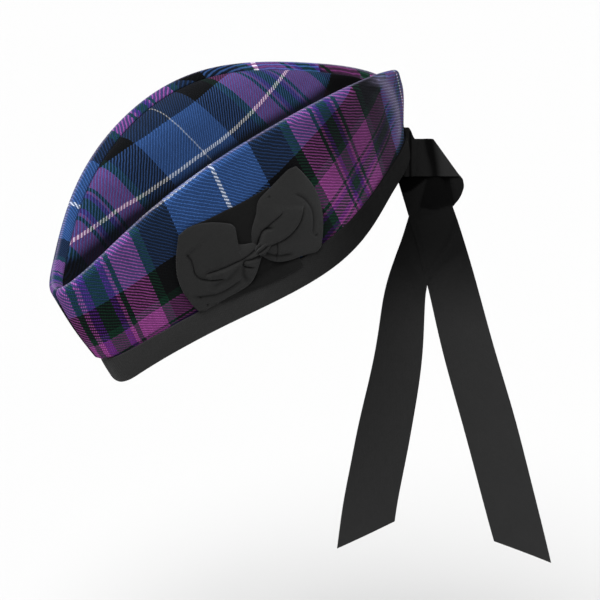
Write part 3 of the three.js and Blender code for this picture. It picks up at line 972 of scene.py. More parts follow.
def tartan_material():
    """Wool twill: each yarn passes over two and under two, so both ways' colours show as ribs.

    With thread numbers i and j, a warp yarn stands sin(2 pi (i - v + 1) / 4) high and a weft yarn
    -sin(2 pi (u - j) / 4), u and v in threads, each rounded across its width by 1 less YARN_ROUNDING
    times its distance from the yarn's middle squared. The higher shows, and a fuzz of the root of
    both yarns' colours multiplied lies over it.
    """
    colours = settings().colours
    graph = Graph("tartan twill")
    cloth = graph.cloth()
    pull = (YARN_PULL, YARN_PULL, 0.0)
    centre = (-YARN_PULL / 2, -YARN_PULL / 2, 0.0)
    shake = graph.noise(cloth, 0.22, 2.0, "Color")
    shift = graph.vector_math("MULTIPLY_ADD", {0: shake, 1: pull, 2: centre})
    drawn = graph.split(graph.vector_math("ADD", {0: cloth, 1: shift}))
    u, v = (graph.math("DIVIDE", drawn[axis], THREAD) for axis in (0, 1))
    i, j = graph.math("FLOOR", u), graph.math("FLOOR", v)
    turn = 2 * np.pi / TWILL_THREADS
    warp_phase = graph.multiply(graph.math("ADD", graph.math("SUBTRACT", i, v), 1.0), turn)
    weft_phase = graph.multiply(graph.math("SUBTRACT", j, u), turn)

    def yarn(phase, place, number):
        """A yarn's height: the sine of its phase and its rounding."""
        across = graph.math("SUBTRACT", graph.math("SUBTRACT", place, number), 0.5)
        rounding = graph.math("MULTIPLY_ADD", graph.multiply(across, across), -YARN_ROUNDING, 1.0)
        return graph.math("ADD", graph.math("SINE", phase), rounding)

    def dyed(number, white):
        """A yarn's colour: its stripe's, a little lighter or darker from yarn to yarn."""
        thread = graph.multiply(graph.math("ADD", number, 0.5), THREAD)
        uneven = graph.between(graph.random(number), *YARN_DYE)
        return graph.scale(sett_ramp(graph, thread, colours, white), uneven)

    warp, weft = yarn(warp_phase, u, i), yarn(weft_phase, v, j)
    over = graph.math("MULTIPLY_ADD", graph.math("SUBTRACT", warp, weft), 3.0, 0.5, clamp=True)
    height = graph.math("MAXIMUM", warp, weft)
    warp_colour, weft_colour = dyed(i, SETT[0][1]), dyed(j, FINE_WHITE)
    woven = graph.mix(graph.between(over, *YARN_MIX), weft_colour, warp_colour)
    product = graph.mix(1.0, warp_colour, weft_colour, "MULTIPLY")
    fuzzy = graph.node("Gamma", {"Color": product, "Gamma": 0.5}).outputs[0]
    woven = graph.mix(YARN_FUZZ, woven, fuzzy)
    # The attribute's third value: above 0 it mixes in the pale colour, as painted highlight and rubbed nap,
    # and below 0 it is painted shade.
    painted_light_and_wear = graph.split(cloth)[2]
    pale = graph.math("MULTIPLY", painted_light_and_wear, graph.uneven(cloth, 1.1, 3.0, 0.2, 1.6), clamp=True)
    woven = graph.mix(pale, woven, rgba(colours.nap_and_highlight))
    # Painted shade in the hollows between yarns, and painted sheen that makes warp floats lighter than weft
    # floats.
    hollow = graph.math("MULTIPLY_ADD", height, 1.0, -YARN_HOLLOW_SHADE, clamp=True)
    fibre = graph.uneven(cloth, 3.2, 3.0, 0.7, 1.3)
    patch = graph.uneven(cloth, 0.05, 2.0, 0.85, 1.15)
    float_sheen = graph.between(over, *WARP_WEFT_SHEEN)
    shade = graph.multiply(hollow, fibre, patch, graph.darkness(painted_light_and_wear), float_sheen)
    fuzz = graph.math("MULTIPLY_ADD", graph.noise(cloth, 4.0, 3.0), 0.5, height)
    graph.bump(fuzz, TWILL_RELIEF)
    graph.dress(
        {
            "Base Color": graph.scale(woven, shade),
            "Roughness": 0.92,
            "Specular IOR Level": 0.05,
            "Sheen Weight": 0.05,
            "Sheen Roughness": 0.45,
            "Sheen Tint": (0.62, 0.66, 0.9, 1.0),
        }
    )
    return graph.material


def ribbon_material(name, colour, rib, roughness, sheen):
    """Plain-woven ribbon: sine ribs across its run, finer sine yarns along it and a slow unevenness.

    rib is the distance from rib to rib, and a yarn is 0.8 of it wide. The weave's crests are painted
    lighter and its hollows darker, as painted shade, and the cloth attribute's painted shade darkens the
    colour and fades shine and sheen with it. The selvedges are left to the piece's own edge.
    """
    graph = Graph(name)
    cloth = graph.cloth()
    across, down, shade = graph.split(cloth)
    ribs = graph.math("SINE", graph.multiply(across, 2 * np.pi / rib))
    yarns = graph.math("SINE", graph.multiply(down, 2 * np.pi / (0.8 * rib)))
    weave = graph.math("MULTIPLY_ADD", yarns, 0.6, ribs)
    stretch = {"Vector": cloth, "Scale": (0.06, 1.6, 1.0)}
    streak = graph.node("Mapping", stretch, vector_type="POINT").outputs[0]
    streaks = graph.uneven(streak, 1.0, 3.0, 0.82, 1.18)
    patch = graph.uneven(cloth, 0.07, 3.0, 0.8, 1.2)
    fibre = graph.uneven(cloth, 1.2, 5.0, 0.4, 1.6)
    rib_shade = graph.between(graph.multiply(weave, 0.5), 0.92, 1.08)
    dark = graph.darkness(shade)
    lit = graph.multiply(streaks, patch, fibre, rib_shade, dark)
    rough = graph.math("MULTIPLY_ADD", graph.noise(cloth, 1.3, 3.0), 1.2, weave)
    graph.bump(rough, RIBBON_RELIEF)
    graph.dress(
        {
            "Specular IOR Level": RIBBON_SHINE,
            "Sheen Weight": sheen,
            "Sheen Roughness": 0.5,
            "Sheen Tint": (0.9, 0.92, 0.95, 1.0),
        }
    )
    graph.dress(
        {
            "Base Color": graph.scale(colour, lit),
            "Roughness": graph.uneven(cloth, 0.35, 3.0, roughness - 0.06, roughness + 0.06),
            "Specular IOR Level": graph.multiply(dark, RIBBON_SHINE),
            "Sheen Weight": graph.multiply(dark, sheen),
        }
    )
    return graph.material


def side_cloth(along, height, side):
    """Place on the flat cloth of a point on a side, across the columns and down the rows.

    Rows count down from ROW_EDGE at the height of ROW_HEIGHT, a parabola along the lower edge. Above
    it they are eased by a soft ramp, and over the binding they are gathered, most at the front. The
    left side's columns follow LEFT_COLUMNS times their lean, which grows with the height. The right
    side's lie at their distance from its green centre times a stretch that goes from its first value
    to its second as (1 + tanh(distance / STRETCH_BLEND)) / 2, drawn back as a square at the front.
    """
    row = ROW_HEIGHT[0] + ROW_HEIGHT[1] * along + ROW_HEIGHT[2] * along**2
    above = height - row
    ease = ROW_EASE * np.logaddexp(0, (above - ROW_EASE_START) / ROW_EASE_BLEND) * ROW_EASE_BLEND
    gather = ROW_GATHER[0] + ROW_GATHER[1] * np.exp(-along / ROW_GATHER_FRONT)
    gather = gather * np.exp(-(height - ROW_GATHER_HEIGHT) / ROW_GATHER_FADE)
    v = ROW_EDGE - above + ease + gather * np.exp(-((along / ROW_GATHER_RUN) ** 4))
    if side < 0:
        u = np.interp(along, *LEFT_COLUMNS.T) * (1 + COLUMN_LEAN * (height - COLUMN_LEAN_HEIGHT))
    else:
        distance = along - RIGHT_CENTRE
        stretch = blend(RIGHT_STRETCH, (1 + np.tanh(distance / STRETCH_BLEND)) / 2)
        u = SETT_TURN + distance * stretch
        u = u - RIGHT_FRONT_EASE * np.maximum(RIGHT_FRONT - along, 0.0) ** 2
        v = v + RIGHT_ROW_SHIFT
    return u, v


def back_ridge(height):
    """Place along the edge of the upright ridge near the back: a parabola of the height."""
    return BACK_RIDGE - BACK_BEND * (height - BACK_HEIGHT) ** 2


def side_light_and_wear(along, rise, full, side):
    """How far a side is painted pale, less its painted shade.

    A narrow hump of painted highlight over the ridge's roll, and a wide one, part rubbed nap and part
    painted highlight, over the upright ridge near the back with the back tip, which fades below, past the
    cap's ridge and on the right side, less the painted shade at the front and on the flanks.
    """
    past = rise - full
    crest = hump(along, back_ridge(np.minimum(rise, full)), CREST_WEAR_AND_HIGHLIGHT_WIDTH)
    crest = (crest + TIP_WEAR_AND_HIGHLIGHT * smooth(along, *TIP_WEAR_AND_HIGHLIGHT_RUN)) * smooth(rise, *CREST_WEAR_AND_HIGHLIGHT_START)
    crest = crest * blend((1, CREST_WEAR_AND_HIGHLIGHT_KEPT_PAST_RIDGE), smooth(past, *CREST_WEAR_AND_HIGHLIGHT_TOP))
    if side > 0:
        crest = crest * CREST_WEAR_AND_HIGHLIGHT_KEPT_RIGHT
    shade = FRONT_SHADE * fade(along, *FRONT_SHADE_RUN)
    shade = shade + FLANK_SHADE * window(along, FLANK_SHADE_RUN, FLANK_SHADE_END)
    shade = shade * smooth(rise, *SIDE_SHADE_START) * fade(past, *SIDE_SHADE_TOP)
    return RIDGE_HIGHLIGHT * hump(past, RIDGE_HIGHLIGHT_PLACE, RIDGE_HIGHLIGHT_WIDTH) + crest - shade


def side_surface(side):
    """One side's middle surface: up the wall, over the ridge's roll and down to the crown seam.

    The wall stands out by soft waves, and by the upright ridge near the back as a hump with a valley
    in front of it, all none at its foot and top. The roll is a quarter circle of RIDGE_ROLL, and the
    strip after it drops as its share to the power STRIP_POWER.
    """
    t = edge_shares(SIDE_GRID[0], CLOTH_EDGE)[:, None]
    full = wall_frame(t)[2]
    shares = np.linspace(0, 1, SIDE_GRID[1])[None, :]
    height = shares * full
    along = along_edge(t)
    swell = soft_waves(along, height, UNEVENNESS) * np.sin(np.pi * shares) ** 0.5
    ridge = back_ridge(height)
    fold = BACK_RIDGE_RISE * hump(along, ridge, BACK_RIDGE_WIDTH)
    fold = fold - BACK_CREASE_DEPTH * hump(along, ridge - BACK_CREASE, BACK_CREASE_WIDTH)
    out = (swell + fold * np.sin(np.pi * shares) ** 0.7) * smooth(height, *UNEVEN_START)
    angle = np.linspace(0, np.pi / 2, ROLL_STEPS)[None, 1:]
    roll = ridge_point(t, RIDGE_ROLL * (1 - np.cos(angle)), RIDGE_ROLL * (1 - np.sin(angle)))
    share = np.array(STRIP_SHARES)[None, :]
    strip = ridge_point(t, blend((RIDGE_ROLL, SEAM_INWARD), share), SEAM_DROP * share**STRIP_POWER)
    points = np.concatenate([wall_point(t, height, out), roll, strip], axis=1)
    over_roll = full + RIDGE_ROLL * angle
    over_strip = full + ROLL_LENGTH + STRIP_LENGTH * share
    rise = np.concatenate([height, over_roll, over_strip], axis=1)
    cloth = stacked(*side_cloth(along, rise, side), side_light_and_wear(along, rise, full, side))
    return on_one_side(points, side), cloth


def crown_cloth(points):
    """Place on the flat cloth: columns by the distance along, rows by the distance over the surface.

    Columns stretch from CROWN_CENTRE, eased behind it by share (1 - share)^2, which peaks at 4 / 27.
    Rows count from a white centre that runs CROWN_ROW from the valley's line, further at both ends
    as the square of the distance along. Painted shade darkens the crown strongly near the valley's line
    and less further out, fading by the seams.
    """
    run = run_along(points, axis=1)
    across = run - run[:, -1:] / 2
    x = points[..., 0]
    distance = x - CROWN_CENTRE
    share = np.clip(distance / CROWN_BACK_RUN, 0, 1)
    ease = CROWN_BACK_EASE * 27 / 4 * share * (1 - share) ** 2
    columns = distance * np.where(distance < 0, *CROWN_STRETCH) + ease
    rows = across - CROWN_ROW - np.where(x < 0, *CROWN_ROW_BEND) * x**2
    deep = FOLD_SHADE * fade(np.abs(across), *FOLD_SHADE_RUN)
    deep = deep + CROWN_SHADE * fade(np.abs(across), *CROWN_SHADE_RUN)
    return stacked(rows, columns, np.maximum(-deep, DARKEST))


def crown_surface():
    """The crown's middle surface, between the two ridge seams.

    Height = seam height - depth * ((1 + cos pi a) / 2)^sharpness, a from -1 to 1 across, with
    depth = VALLEY_DEPTH sin(pi t)^VALLEY_ENDS. Its edges tuck under the sides' strips by
    CROWN_TUCK exp(-distance from the seam / fade), and soft waves are added inside 1 - |a|^6.
    """
    t = np.linspace(CROWN_TIP, 1 - CROWN_TIP, CROWN_GRID[0])[:, None]
    a = 2 * edge_shares(CROWN_GRID[1], CLOTH_EDGE)[None, :] - 1
    x, y, nx, ny = plan_curve(t, RIDGE_ENDS, RIDGE_HALF)
    edge = y + ny * CROWN_OVERLAP
    seam = natural_spline(SECTIONS[:, RIDGE_HEIGHT], t) - SEAM_DROP
    tuck = CROWN_TUCK * np.exp(-(1 - np.abs(a)) * edge / CROWN_TUCK_FADE)
    depth = VALLEY_DEPTH * np.sin(np.pi * t) ** VALLEY_ENDS
    fall = ((1 + np.cos(np.pi * a)) / 2) ** VALLEY_SHARPNESS
    waves = soft_waves(x, a * edge * CROWN_WAVES, CROWN_UNEVENNESS) * (1 - np.abs(a) ** 6)
    points = stacked(x + nx * CROWN_OVERLAP, edge * a, seam - depth * fall - tuck + waves)
    return points, crown_cloth(points)


def band_outline():
    """The folded binding's closed outline as (out, height): down outside, round below, up inside.

    The middle line swells outside as sin(pi height / BAND_HEIGHT) and has an elliptical bottom. The
    outline lies half the cloth to each side of it and is rounded at both ends.
    """
    cloth = settings().sizes.binding_cloth / MM
    outer = stacked(BAND_OUT, np.linspace(BAND_HEIGHT, BAND_STRAIGHT, BAND_STEPS[0]))
    outer[:, 0] += BAND_SWELL * np.sin(np.pi * np.clip(outer[:, 1] / BAND_HEIGHT, 0, 1))
    angle = np.linspace(0, np.pi, BAND_STEPS[1])[1:-1]
    below = stacked(BAND_OUT * np.cos(angle), BAND_STRAIGHT / 2 - BAND_BOTTOM * np.sin(angle))
    outer[0, 1] -= BAND_LIP
    inner = stacked(-BAND_OUT, np.linspace(BAND_STRAIGHT, BAND_INSIDE_HEIGHT, BAND_STEPS[2]))
    line = np.concatenate([outer, below, inner])
    tangent = np.gradient(line, axis=0)
    tangent /= np.linalg.norm(tangent, axis=1, keepdims=True)
    normal = np.stack([-tangent[:, 1], tangent[:, 0]], -1) * cloth / 2

    def rounded(point, tangent, normal):
        """A half circle round one end of the line."""
        turn = np.linspace(0, np.pi, 9)[1:-1, None]
        return point + normal * np.cos(turn) + tangent * np.sin(turn) * cloth / 2

    far = rounded(line[-1], tangent[-1], normal[-1])
    near = rounded(line[0], -tangent[0], -normal[0])
    return np.concatenate([line + normal, far, (line - normal)[::-1], near])


def band_surface():
    """The outline carried round the head opening on the sides' own surface, down one side and back.

    It is lowered a little at the back and dips as exp(-distance / fade) at the front. A pucker, the
    product of two sines, grows up both its faces. Painted shade darkens it towards the back.
    """
    t = np.linspace(0, 1, BAND_STATIONS)
    loop = np.concatenate([t, t[-2:0:-1]])[:, None]
    side = np.concatenate([-np.ones(len(t)), np.ones(len(t) - 2)])[:, None]
    outline = band_outline()
    out, height = outline[None, :, 0], outline[None, :, 1]
    along = along_edge(loop)
    rest = EDGE_LENGTHS[-1] - along
    at_back = fade(rest, *BAND_END_RUN)
    height = np.where(height > 0, height * (1 - BAND_END_DROP * at_back), height)
    dip = BAND_FRONT_DIP * np.exp(-along / BAND_FRONT_FADE)
    height = height - dip * fade(height, *BAND_FRONT_TOP)
    pucker = np.sin(along / BAND_PUCKER_LENGTHS[0] + side) * np.sin(along / BAND_PUCKER_LENGTHS[1])
    out = out + BAND_PUCKER * pucker * smooth(height, 0.0, BAND_HEIGHT) * np.sign(out)
    dark = BAND_SHADE * fade(rest, *BAND_SHADE_RUN) + BAND_END_SHADE * at_back
    cloth = stacked(side * along, run_along(outline)[None, :], -dark)
    return on_one_side(wall_point(loop, height, out), side), cloth


def wrapped_quads(rows, columns):
    """Faces of a grid that closes on itself both ways."""
    index = np.arange(rows * columns).reshape(rows, columns)
    index = np.concatenate([index, index[:1]])
    return quads(np.concatenate([index, index[:, :1]], axis=1))


def left_wall(along, height, out):
    """A point on the left side, in the part frame, from its place along and up the wall."""
    points = wall_point(station_at(along - COCKADE_BACK), height, out)
    points[..., 1] *= -1
    return tip(points)


def ruled(upper, lower, p, q):
    """Place along and up the wall: straight from the lower outline to the upper, splines along p."""
    high = natural_spline(upper, p[:, 0])[:, None, :]
    low = natural_spline(lower, p[:, 0])[:, None, :]
    place = high * q[..., None] + low * (1 - q[..., None])
    return place[..., 0], place[..., 1]


def loop_surface(loop):
    """A cockade loop: ruled between its two outlines, swelling as sin(pi q)^0.5 sin(pi p')^0.5.

    p runs from the knot to the free end, with p' = 0.12 + 0.88 p, and q from the lower outline to
    the upper. The free end bulges by p^3 sin(pi q), and its corners are drawn in by LOOP_CORNER.
    Folds, pits and soft waves are added on top, and painted shade darkens the folds' valleys and the pits.
    """
    p = edge_shares(LOOP_GRID[0], LOOP_EDGE)[:, None]
    q = edge_shares(LOOP_GRID[1], LOOP_EDGE)[None, :]
    q = 0.5 + (q - 0.5) * (1 - LOOP_CORNER * smooth(p, *LOOP_CORNER_RUN) ** 2)
    along, height = ruled(loop.upper, loop.lower, p, q)
    along = along + loop.bulge * p**3 * np.sin(np.pi * q)
    body = np.sin(np.pi * np.clip(q, 0, 1)) ** 0.5
    ending = np.sqrt(np.clip(np.sin(np.pi * np.clip(0.12 + 0.88 * p, 0, 1)), 0, 1))
    base = blend((LOOP_KNOT_OUT, LOOP_OUT), smooth(p, *LOOP_KNOT_RUN))
    pits = dimples(along, height, loop.dimples)
    relief = folds_relief(along, height, loop.folds) + pits
    waves = soft_waves(along * LOOP_WAVES, height * LOOP_WAVES, LOOP_UNEVENNESS)
    out = base + LOOP_PUFF * body * ending + relief * np.minimum(1, 4 * body * ending) + waves
    shade = folds_shade(along, height, loop.folds) + DIMPLE_SHADE * pits
    return left_wall(along, height, out), stacked(along, height, shade)


def backing_surface():
    """The ribbon behind the loops: ruled flat on the wall, stepping out over the binding's top edge, with
    painted shade.
    """
    p = edge_shares(BACKING_GRID[0], BACKING_EDGE)[:, None]
    q = edge_shares(BACKING_GRID[1], BACKING_EDGE)[None, :]
    along, height = ruled(BACKING_UPPER, BACKING_LOWER, p, q)
    out = blend(BACKING_OUT, smooth(height, *BACKING_STEP))
    out = out + soft_waves(along * BACKING_WAVES, height * BACKING_WAVES, BACKING_UNEVENNESS)
    return left_wall(along, height, out), stacked(along, height, -BACKING_SHADE)


def knot_surface():
    """The pinched middle: a closed barrel whose waist is pleated and twisted.

    Rings follow sin(s)^0.6 along the barrel, and its pleats cos(KNOT_PLEATS angle + KNOT_TWIST cos s)
    It is flared at both ends by KNOT_FLARE cos(s)^2 of its width, and painted shade darkens its pleats'
    valleys.
    """
    s = np.linspace(0.02, np.pi - 0.02, KNOT_GRID[0])[:, None]
    angle = np.linspace(0, 2 * np.pi, KNOT_GRID[1], endpoint=False)[None, :]
    pleat = np.cos(KNOT_PLEATS * angle + KNOT_TWIST * np.cos(s))
    ring = np.sin(s) ** 0.6 * (1 + KNOT_PLEAT_DEPTH * pleat)
    length = -KNOT_HALF[0] * np.cos(s)
    width = KNOT_HALF[1] * ring * np.cos(angle) * (1 + KNOT_FLARE * np.cos(s) ** 2)
    along = KNOT_PLACE[0] + length * np.cos(KNOT_LEAN) - width * np.sin(KNOT_LEAN)
    height = KNOT_PLACE[1] + length * np.sin(KNOT_LEAN) + width * np.cos(KNOT_LEAN)
    out = KNOT_OUT + KNOT_HALF[2] * ring * np.sin(angle)
    dark = -KNOT_SHADE * np.clip(-pleat, 0, 1) ** 1.5
    return left_wall(along, height, out), stacked(angle * 4.0, length, dark)


def barrel(rings, count):
    """Faces of rings that close round, with the first and last ring filled by strips across them."""
    index = np.arange(rings * count).reshape(rings, count)
    walls = quads(np.concatenate([index, index[:, :1]], axis=1))
    i = np.arange(count // 2 - 1)
    across = np.stack([i, i + 1, (-2 - i) % count, (-1 - i) % count], -1)
    return np.concatenate([walls, index[0][across], index[-1][across][:, ::-1]])


def ribbon_place(across, height, front):
    """A point of the ribbons' upright plane in the part frame: turned and moved to the cap's back."""
    c, s = np.cos(RIBBON_TURN), np.sin(RIBBON_TURN)
    x, y = across + RIBBON_ASIDE, -front
    return stacked(x * c - y * s, x * s + y * c, height) + RIBBON_ORIGIN


def neck_shade(across, height):
    """Painted shade under the wrap: a near-black shadow in the hollow, a dark one on the panel and a fade
    below.
    """
    across, height = np.broadcast_arrays(across, height)
    hollow = HOLLOW_SHADE * inside(across, height, HOLLOW)
    panel = PANEL_SHADE * inside(across, height, PANEL)
    return -np.maximum(np.maximum(hollow, panel), TAIL_SHADE * fade(-height, *TAIL_SHADE_RUN))


def hanging_waves(q, height, phase):
    """A hanging ribbon's slow bends: a sine down it and a sine times q^2 - 0.4, both growing down."""
    fall = np.clip(-height / HANG_LENGTH, 0, 1)
    long_wave = HANG_WAVE * fall * np.sin(-height / HANG_WAVE_LENGTH + phase)
    cup = HANG_CUP * fall * (q**2 - 0.4) * np.sin(-height / HANG_CUP_LENGTH + 2 * phase)
    return long_wave + cup


def left_tail_runs(bend):
    """Places down the left ribbon's length: close steps round its fold and at its cut end."""
    before = np.linspace(FOLD_START, FOLD_CENTRE - bend, LEFT_TAIL_STEPS[0])[:-1]
    round_fold = np.linspace(FOLD_CENTRE - bend, FOLD_CENTRE + bend, LEFT_TAIL_STEPS[1])
    below = np.linspace(FOLD_CENTRE + bend, LEFT_END - 1.0, LEFT_TAIL_STEPS[2])[1:]
    end = LEFT_END - np.array(LEFT_TAIL_END_STEPS)
    return np.concatenate([before, round_fold, below, end])[:, None]


def left_tail_front(across, height, past, q):
    """How far the folded ribbon stands in front of its plane, and its shade.

    Round the fold the front is radius * cos(turn). The wrap, before the fold, is creased and swells
    as a sine squared; below it the ribbon is creased, with a facet past a slanted edge, and hangs in
    waves. The wrap carries painted shade, in streaks and all over, and is painted lighter away from the
    cap; below it the ribbon carries the neck's painted shade.
    """
    turn = np.clip((past + np.pi * FOLD_RADIUS / 2) / FOLD_RADIUS, 0, np.pi)
    on_top = smooth(-past, *WRAP_BLEND)
    swell = WRAP_RISE * np.sin(np.clip(across / WRAP_RISE_WIDTH, 0, 1) * np.pi) ** 2
    wrap = folds_relief(across, height, WRAP_FOLDS) + swell
    slanted = across + LEFT_FACET_SLANT * (height - FACET_HEIGHT)
    facet = LEFT_FACET * smooth(slanted, *LEFT_FACET_EDGE) * window(-height, *LEFT_FACET_RUNS)
    below = folds_relief(across, height, LEFT_TAIL_FOLDS) + facet
    front = FOLD_RADIUS * np.cos(turn) + on_top * wrap + fade(-past, *BELOW_BLEND) * below
    front = front + hanging_waves(q, height, LEFT_PHASE) * (1 - on_top)
    light = WRAP_LIGHT * smooth(across, *WRAP_LIGHT_RUN) - WRAP_SHADE
    wrapped = np.maximum(line_shade(across, height, WRAP_SHADES) + light, WRAP_DARKEST)
    return front, on_top * wrapped + (1 - on_top) * neck_shade(across, height)


def left_tail_surface():
    """The folded ribbon: its flat strip, all past the slanted line turned back round a half circle.

    past and slide are a point's distances from the fold line and along it. Over the half circle
    across and height follow radius * sin(turn). Beyond it the strip hangs: its corner bulges, it is
    drawn aside by SPREAD times a softened ramp of the height, and it sways by humps of the height.
    The strip widens down its run, and its start rises towards its upper edge.
    """
    ax, az = np.cos(FOLD_SLANT), np.sin(FOLD_SLANT)
    nx, nz = -az, ax
    half_turn = np.pi * FOLD_RADIUS / 2
    bend = half_turn / nx
    run = left_tail_runs(bend)
    q = 2 * edge_shares(LEFT_TAIL_COLUMNS, TAIL_EDGE)[None, :] - 1
    half = blend((FOLD_HALF_HEIGHT, RIBBON_WIDTH / 2), smooth(run, *LEFT_WIDENING))
    skew = -q * half * fade(np.abs(run - FOLD_CENTRE), bend, FOLD_FADE) * nz / nx
    cut = LEFT_CUT * q * smooth(run, LEFT_END - FOLD_FADE, LEFT_END)
    rise = LEFT_RISE * (q + 1) / 2 * fade(run, *LEFT_RISE_RUN)
    strip = run + skew + cut
    past = (strip - FOLD_CENTRE) * nx + (q * half + rise) * nz
    slide = (strip - FOLD_CENTRE) * ax + (q * half + rise) * az
    turn = np.clip((past + half_turn) / FOLD_RADIUS, 0, np.pi)
    reach = FOLD_RADIUS * np.sin(turn) - np.maximum(np.abs(past) - half_turn, 0)
    across = FOLD_CENTRE + slide * ax + reach * nx
    height = FOLD_HEIGHT + slide * az + reach * nz
    corner = window(-height, *CORNER_RUNS) * smooth(past, *CORNER_BLEND) * ((1 - q) / 2) ** 1.5
    drop = (SPREAD_HEIGHT - height) / SPREAD_SOFTNESS
    across = across + CORNER_BULGE * corner + SPREAD * SPREAD_SOFTNESS * np.log1p(np.exp(drop))
    for place, amount, width in LEFT_SWAYS:
        across = across + amount * hump(height, place, width) * smooth(past, *SWAY_BLEND)
    front, shade = left_tail_front(across, height, past, q)
    return ribbon_place(across, height, front), stacked(strip, q * half, shade)


def right_tail_surface():
    """The plain ribbon: centre and half width from RIGHT_TAIL, cut on a slant at its end.

    Near the top it is pressed by the other ribbon: a facet in front of a slanted edge under the
    wrap, then creases, all flattened under the cap. Below that it hangs in waves.
    """
    share = edge_shares(RIGHT_TAIL_GRID[0], TAIL_END_EDGE)
    height, centre, half = np.moveaxis(natural_spline(RIGHT_TAIL, share), -1, 0)[..., None]
    q = 2 * edge_shares(RIGHT_TAIL_GRID[1], TAIL_EDGE)[None, :] - 1
    across = centre + q * half
    cut_height = height + RIGHT_CUT * q * share[:, None] ** RIGHT_CUT_POWER
    depth = -height
    slanted = RIGHT_FACET_EDGE - RIGHT_FACET_SLANT * (FACET_HEIGHT - height) - across
    facet = RIGHT_FACET * smooth(slanted, *RIGHT_FACET_BLEND) * window(depth, *RIGHT_FACET_RUNS)
    pressed = facet - NECK_PRESS * fade(depth, *NECK_PRESS_RUN)
    front = folds_relief(across, cut_height, NECK_FOLDS) + pressed
    front = front * (1 - NECK_FLAT * fade(depth, *NECK_FLAT_RUN)) + hanging_waves(q, height, RIGHT_PHASE)
    # The cloth's third value is the neck's painted shade.
    cloth = stacked(-cut_height, q * half, neck_shade(across, cut_height))
    return ribbon_place(across, cut_height, front), cloth


def build_camera():
    """A long lens at the height of the cap, off its left front quarter."""
    ca, sa = np.cos(VIEW_AZIMUTH), np.sin(VIEW_AZIMUTH)
    ce, se = np.cos(VIEW_ELEVATION), np.sin(VIEW_ELEVATION)
    right = np.array((ca, sa, 0.0))
    back = np.array((sa * ce, -ca * ce, se))
    up = np.cross(back, right)
    place = Vector(to_metres(VIEW_CENTRE + back * VIEW_DISTANCE))
    aim = Vector(to_metres(VIEW_CENTRE + right * VIEW_ASIDE - up * VIEW_DOWN))
    data = bpy.data.cameras.new("camera")
    data.lens = LENS
    data.sensor_width = 36.0
    data.clip_start = 0.05
    camera = bpy.data.objects.new("camera", data)
    turn = (place - aim).to_track_quat("Z", "Y").to_matrix().to_4x4()
    camera.matrix_world = Matrix.Translation(place) @ turn
    bpy.context.scene.collection.objects.link(camera)
    bpy.context.scene.camera = camera


def build_lights():
    """White surroundings, a broad soft light from above the camera's left and a gentle one behind."""
    scene = bpy.context.scene
    scene.view_settings.view_transform = "Standard"
    world = bpy.data.worlds.new("white room")
    world.use_nodes = True
    background = world.node_tree.nodes["Background"]
    background.inputs[0].default_value = (1.0, 1.0, 1.0, 1.0)
    background.inputs[1].default_value = ROOM_LIGHT
    scene.world = world
    for name, azimuth, elevation, strength, width in SUNS:
        data = bpy.data.lights.new(name, "SUN")
        data.energy = strength
        data.angle = np.radians(width)
        light = bpy.data.objects.new(name, data)
        a, e = np.radians(azimuth), np.radians(elevation)
        towards = Vector((np.sin(a) * np.cos(e), -np.cos(a) * np.cos(e), np.sin(e)))
        light.matrix_world = towards.to_track_quat("Z", "Y").to_matrix().to_4x4()
        scene.collection.objects.link(light)


def build_floor():
    """A plain pale disc under the cap, wide enough that its far edge lies above the frame."""
    turn = np.linspace(0, 2 * np.pi, FLOOR_SIDES, endpoint=False)
    rim = stacked(FLOOR_RADIUS * np.cos(turn), FLOOR_RADIUS * np.sin(turn), FLOOR_HEIGHT)
    mesh = bpy.data.meshes.new("floor")
    mesh.from_pydata(rim.tolist(), [], [list(range(FLOOR_SIDES))])
    floor = bpy.data.objects.new("floor", mesh)
    bpy.context.scene.collection.objects.link(floor)
    graph = Graph("pale floor")
    graph.dress({"Base Color": FLOOR_COLOUR, "Roughness": 1.0, "Specular IOR Level": 0.0})
    mesh.materials.append(graph.material)


def length_prop(name, description, default):
    return FloatProperty(name=name, description=description, default=default, min=0.0001, unit="LENGTH")


def colour_prop(name, description, default):
    return FloatVectorProperty(
        name=name, description=description, default=default, size=3, min=0.0, max=1.0, subtype="COLOR"
    )


class GlengarrySizes(PropertyGroup):
    """Thicknesses of the cloths and ribbons."""

    tartan_cloth: length_prop("Tartan cloth", "Thickness of the sides' cloth", 0.002)
    crown_cloth: length_prop("Crown cloth", "Thickness of the crown's cloth", 0.0016)
    binding_cloth: length_prop("Binding", "Thickness of each layer of the binding", 0.0012)
    cockade_ribbon: length_prop("Cockade ribbon", "Thickness of the cockade's loops", 0.0012)
    tail_ribbon: length_prop("Tail ribbon", "Thickness of the hanging ribbons", 0.0006)


class GlengarryColours(PropertyGroup):
    """Colours of the tartan's yarns, the binding and the ribbons."""

    white: colour_prop("White yarn", "The fine centre line", (0.62, 0.63, 0.68))
    blue: colour_prop("Blue yarn", "The broad blue ground", (0.024, 0.066, 0.196))
    black: colour_prop("Black yarn", "The broad black stripe", (0.0012, 0.0014, 0.0012))
    green: colour_prop("Green yarn", "The green stripes", (0.0028, 0.021, 0.0105))
    purple: colour_prop("Purple yarn", "The purple stripes", (0.245, 0.048, 0.214))
    violet: colour_prop("Violet yarn", "The narrow violet lines", (0.058, 0.01, 0.14))
    # A pale colour for rubbed nap and for the painted highlights along the ridge, on the back crest and on
    # the back tip.
    nap_and_highlight: colour_prop("Worn nap", "The pale nap where the cloth is creased and rubbed", (0.2, 0.175, 0.29))
    binding: colour_prop("Binding", "The woven binding", (0.0115, 0.0115, 0.0115))
    cockade: colour_prop("Cockade", "The cockade's ribbon", (0.0064, 0.0064, 0.0062))
    tails: colour_prop("Tails", "The hanging ribbons", (0.0046, 0.0046, 0.0046))


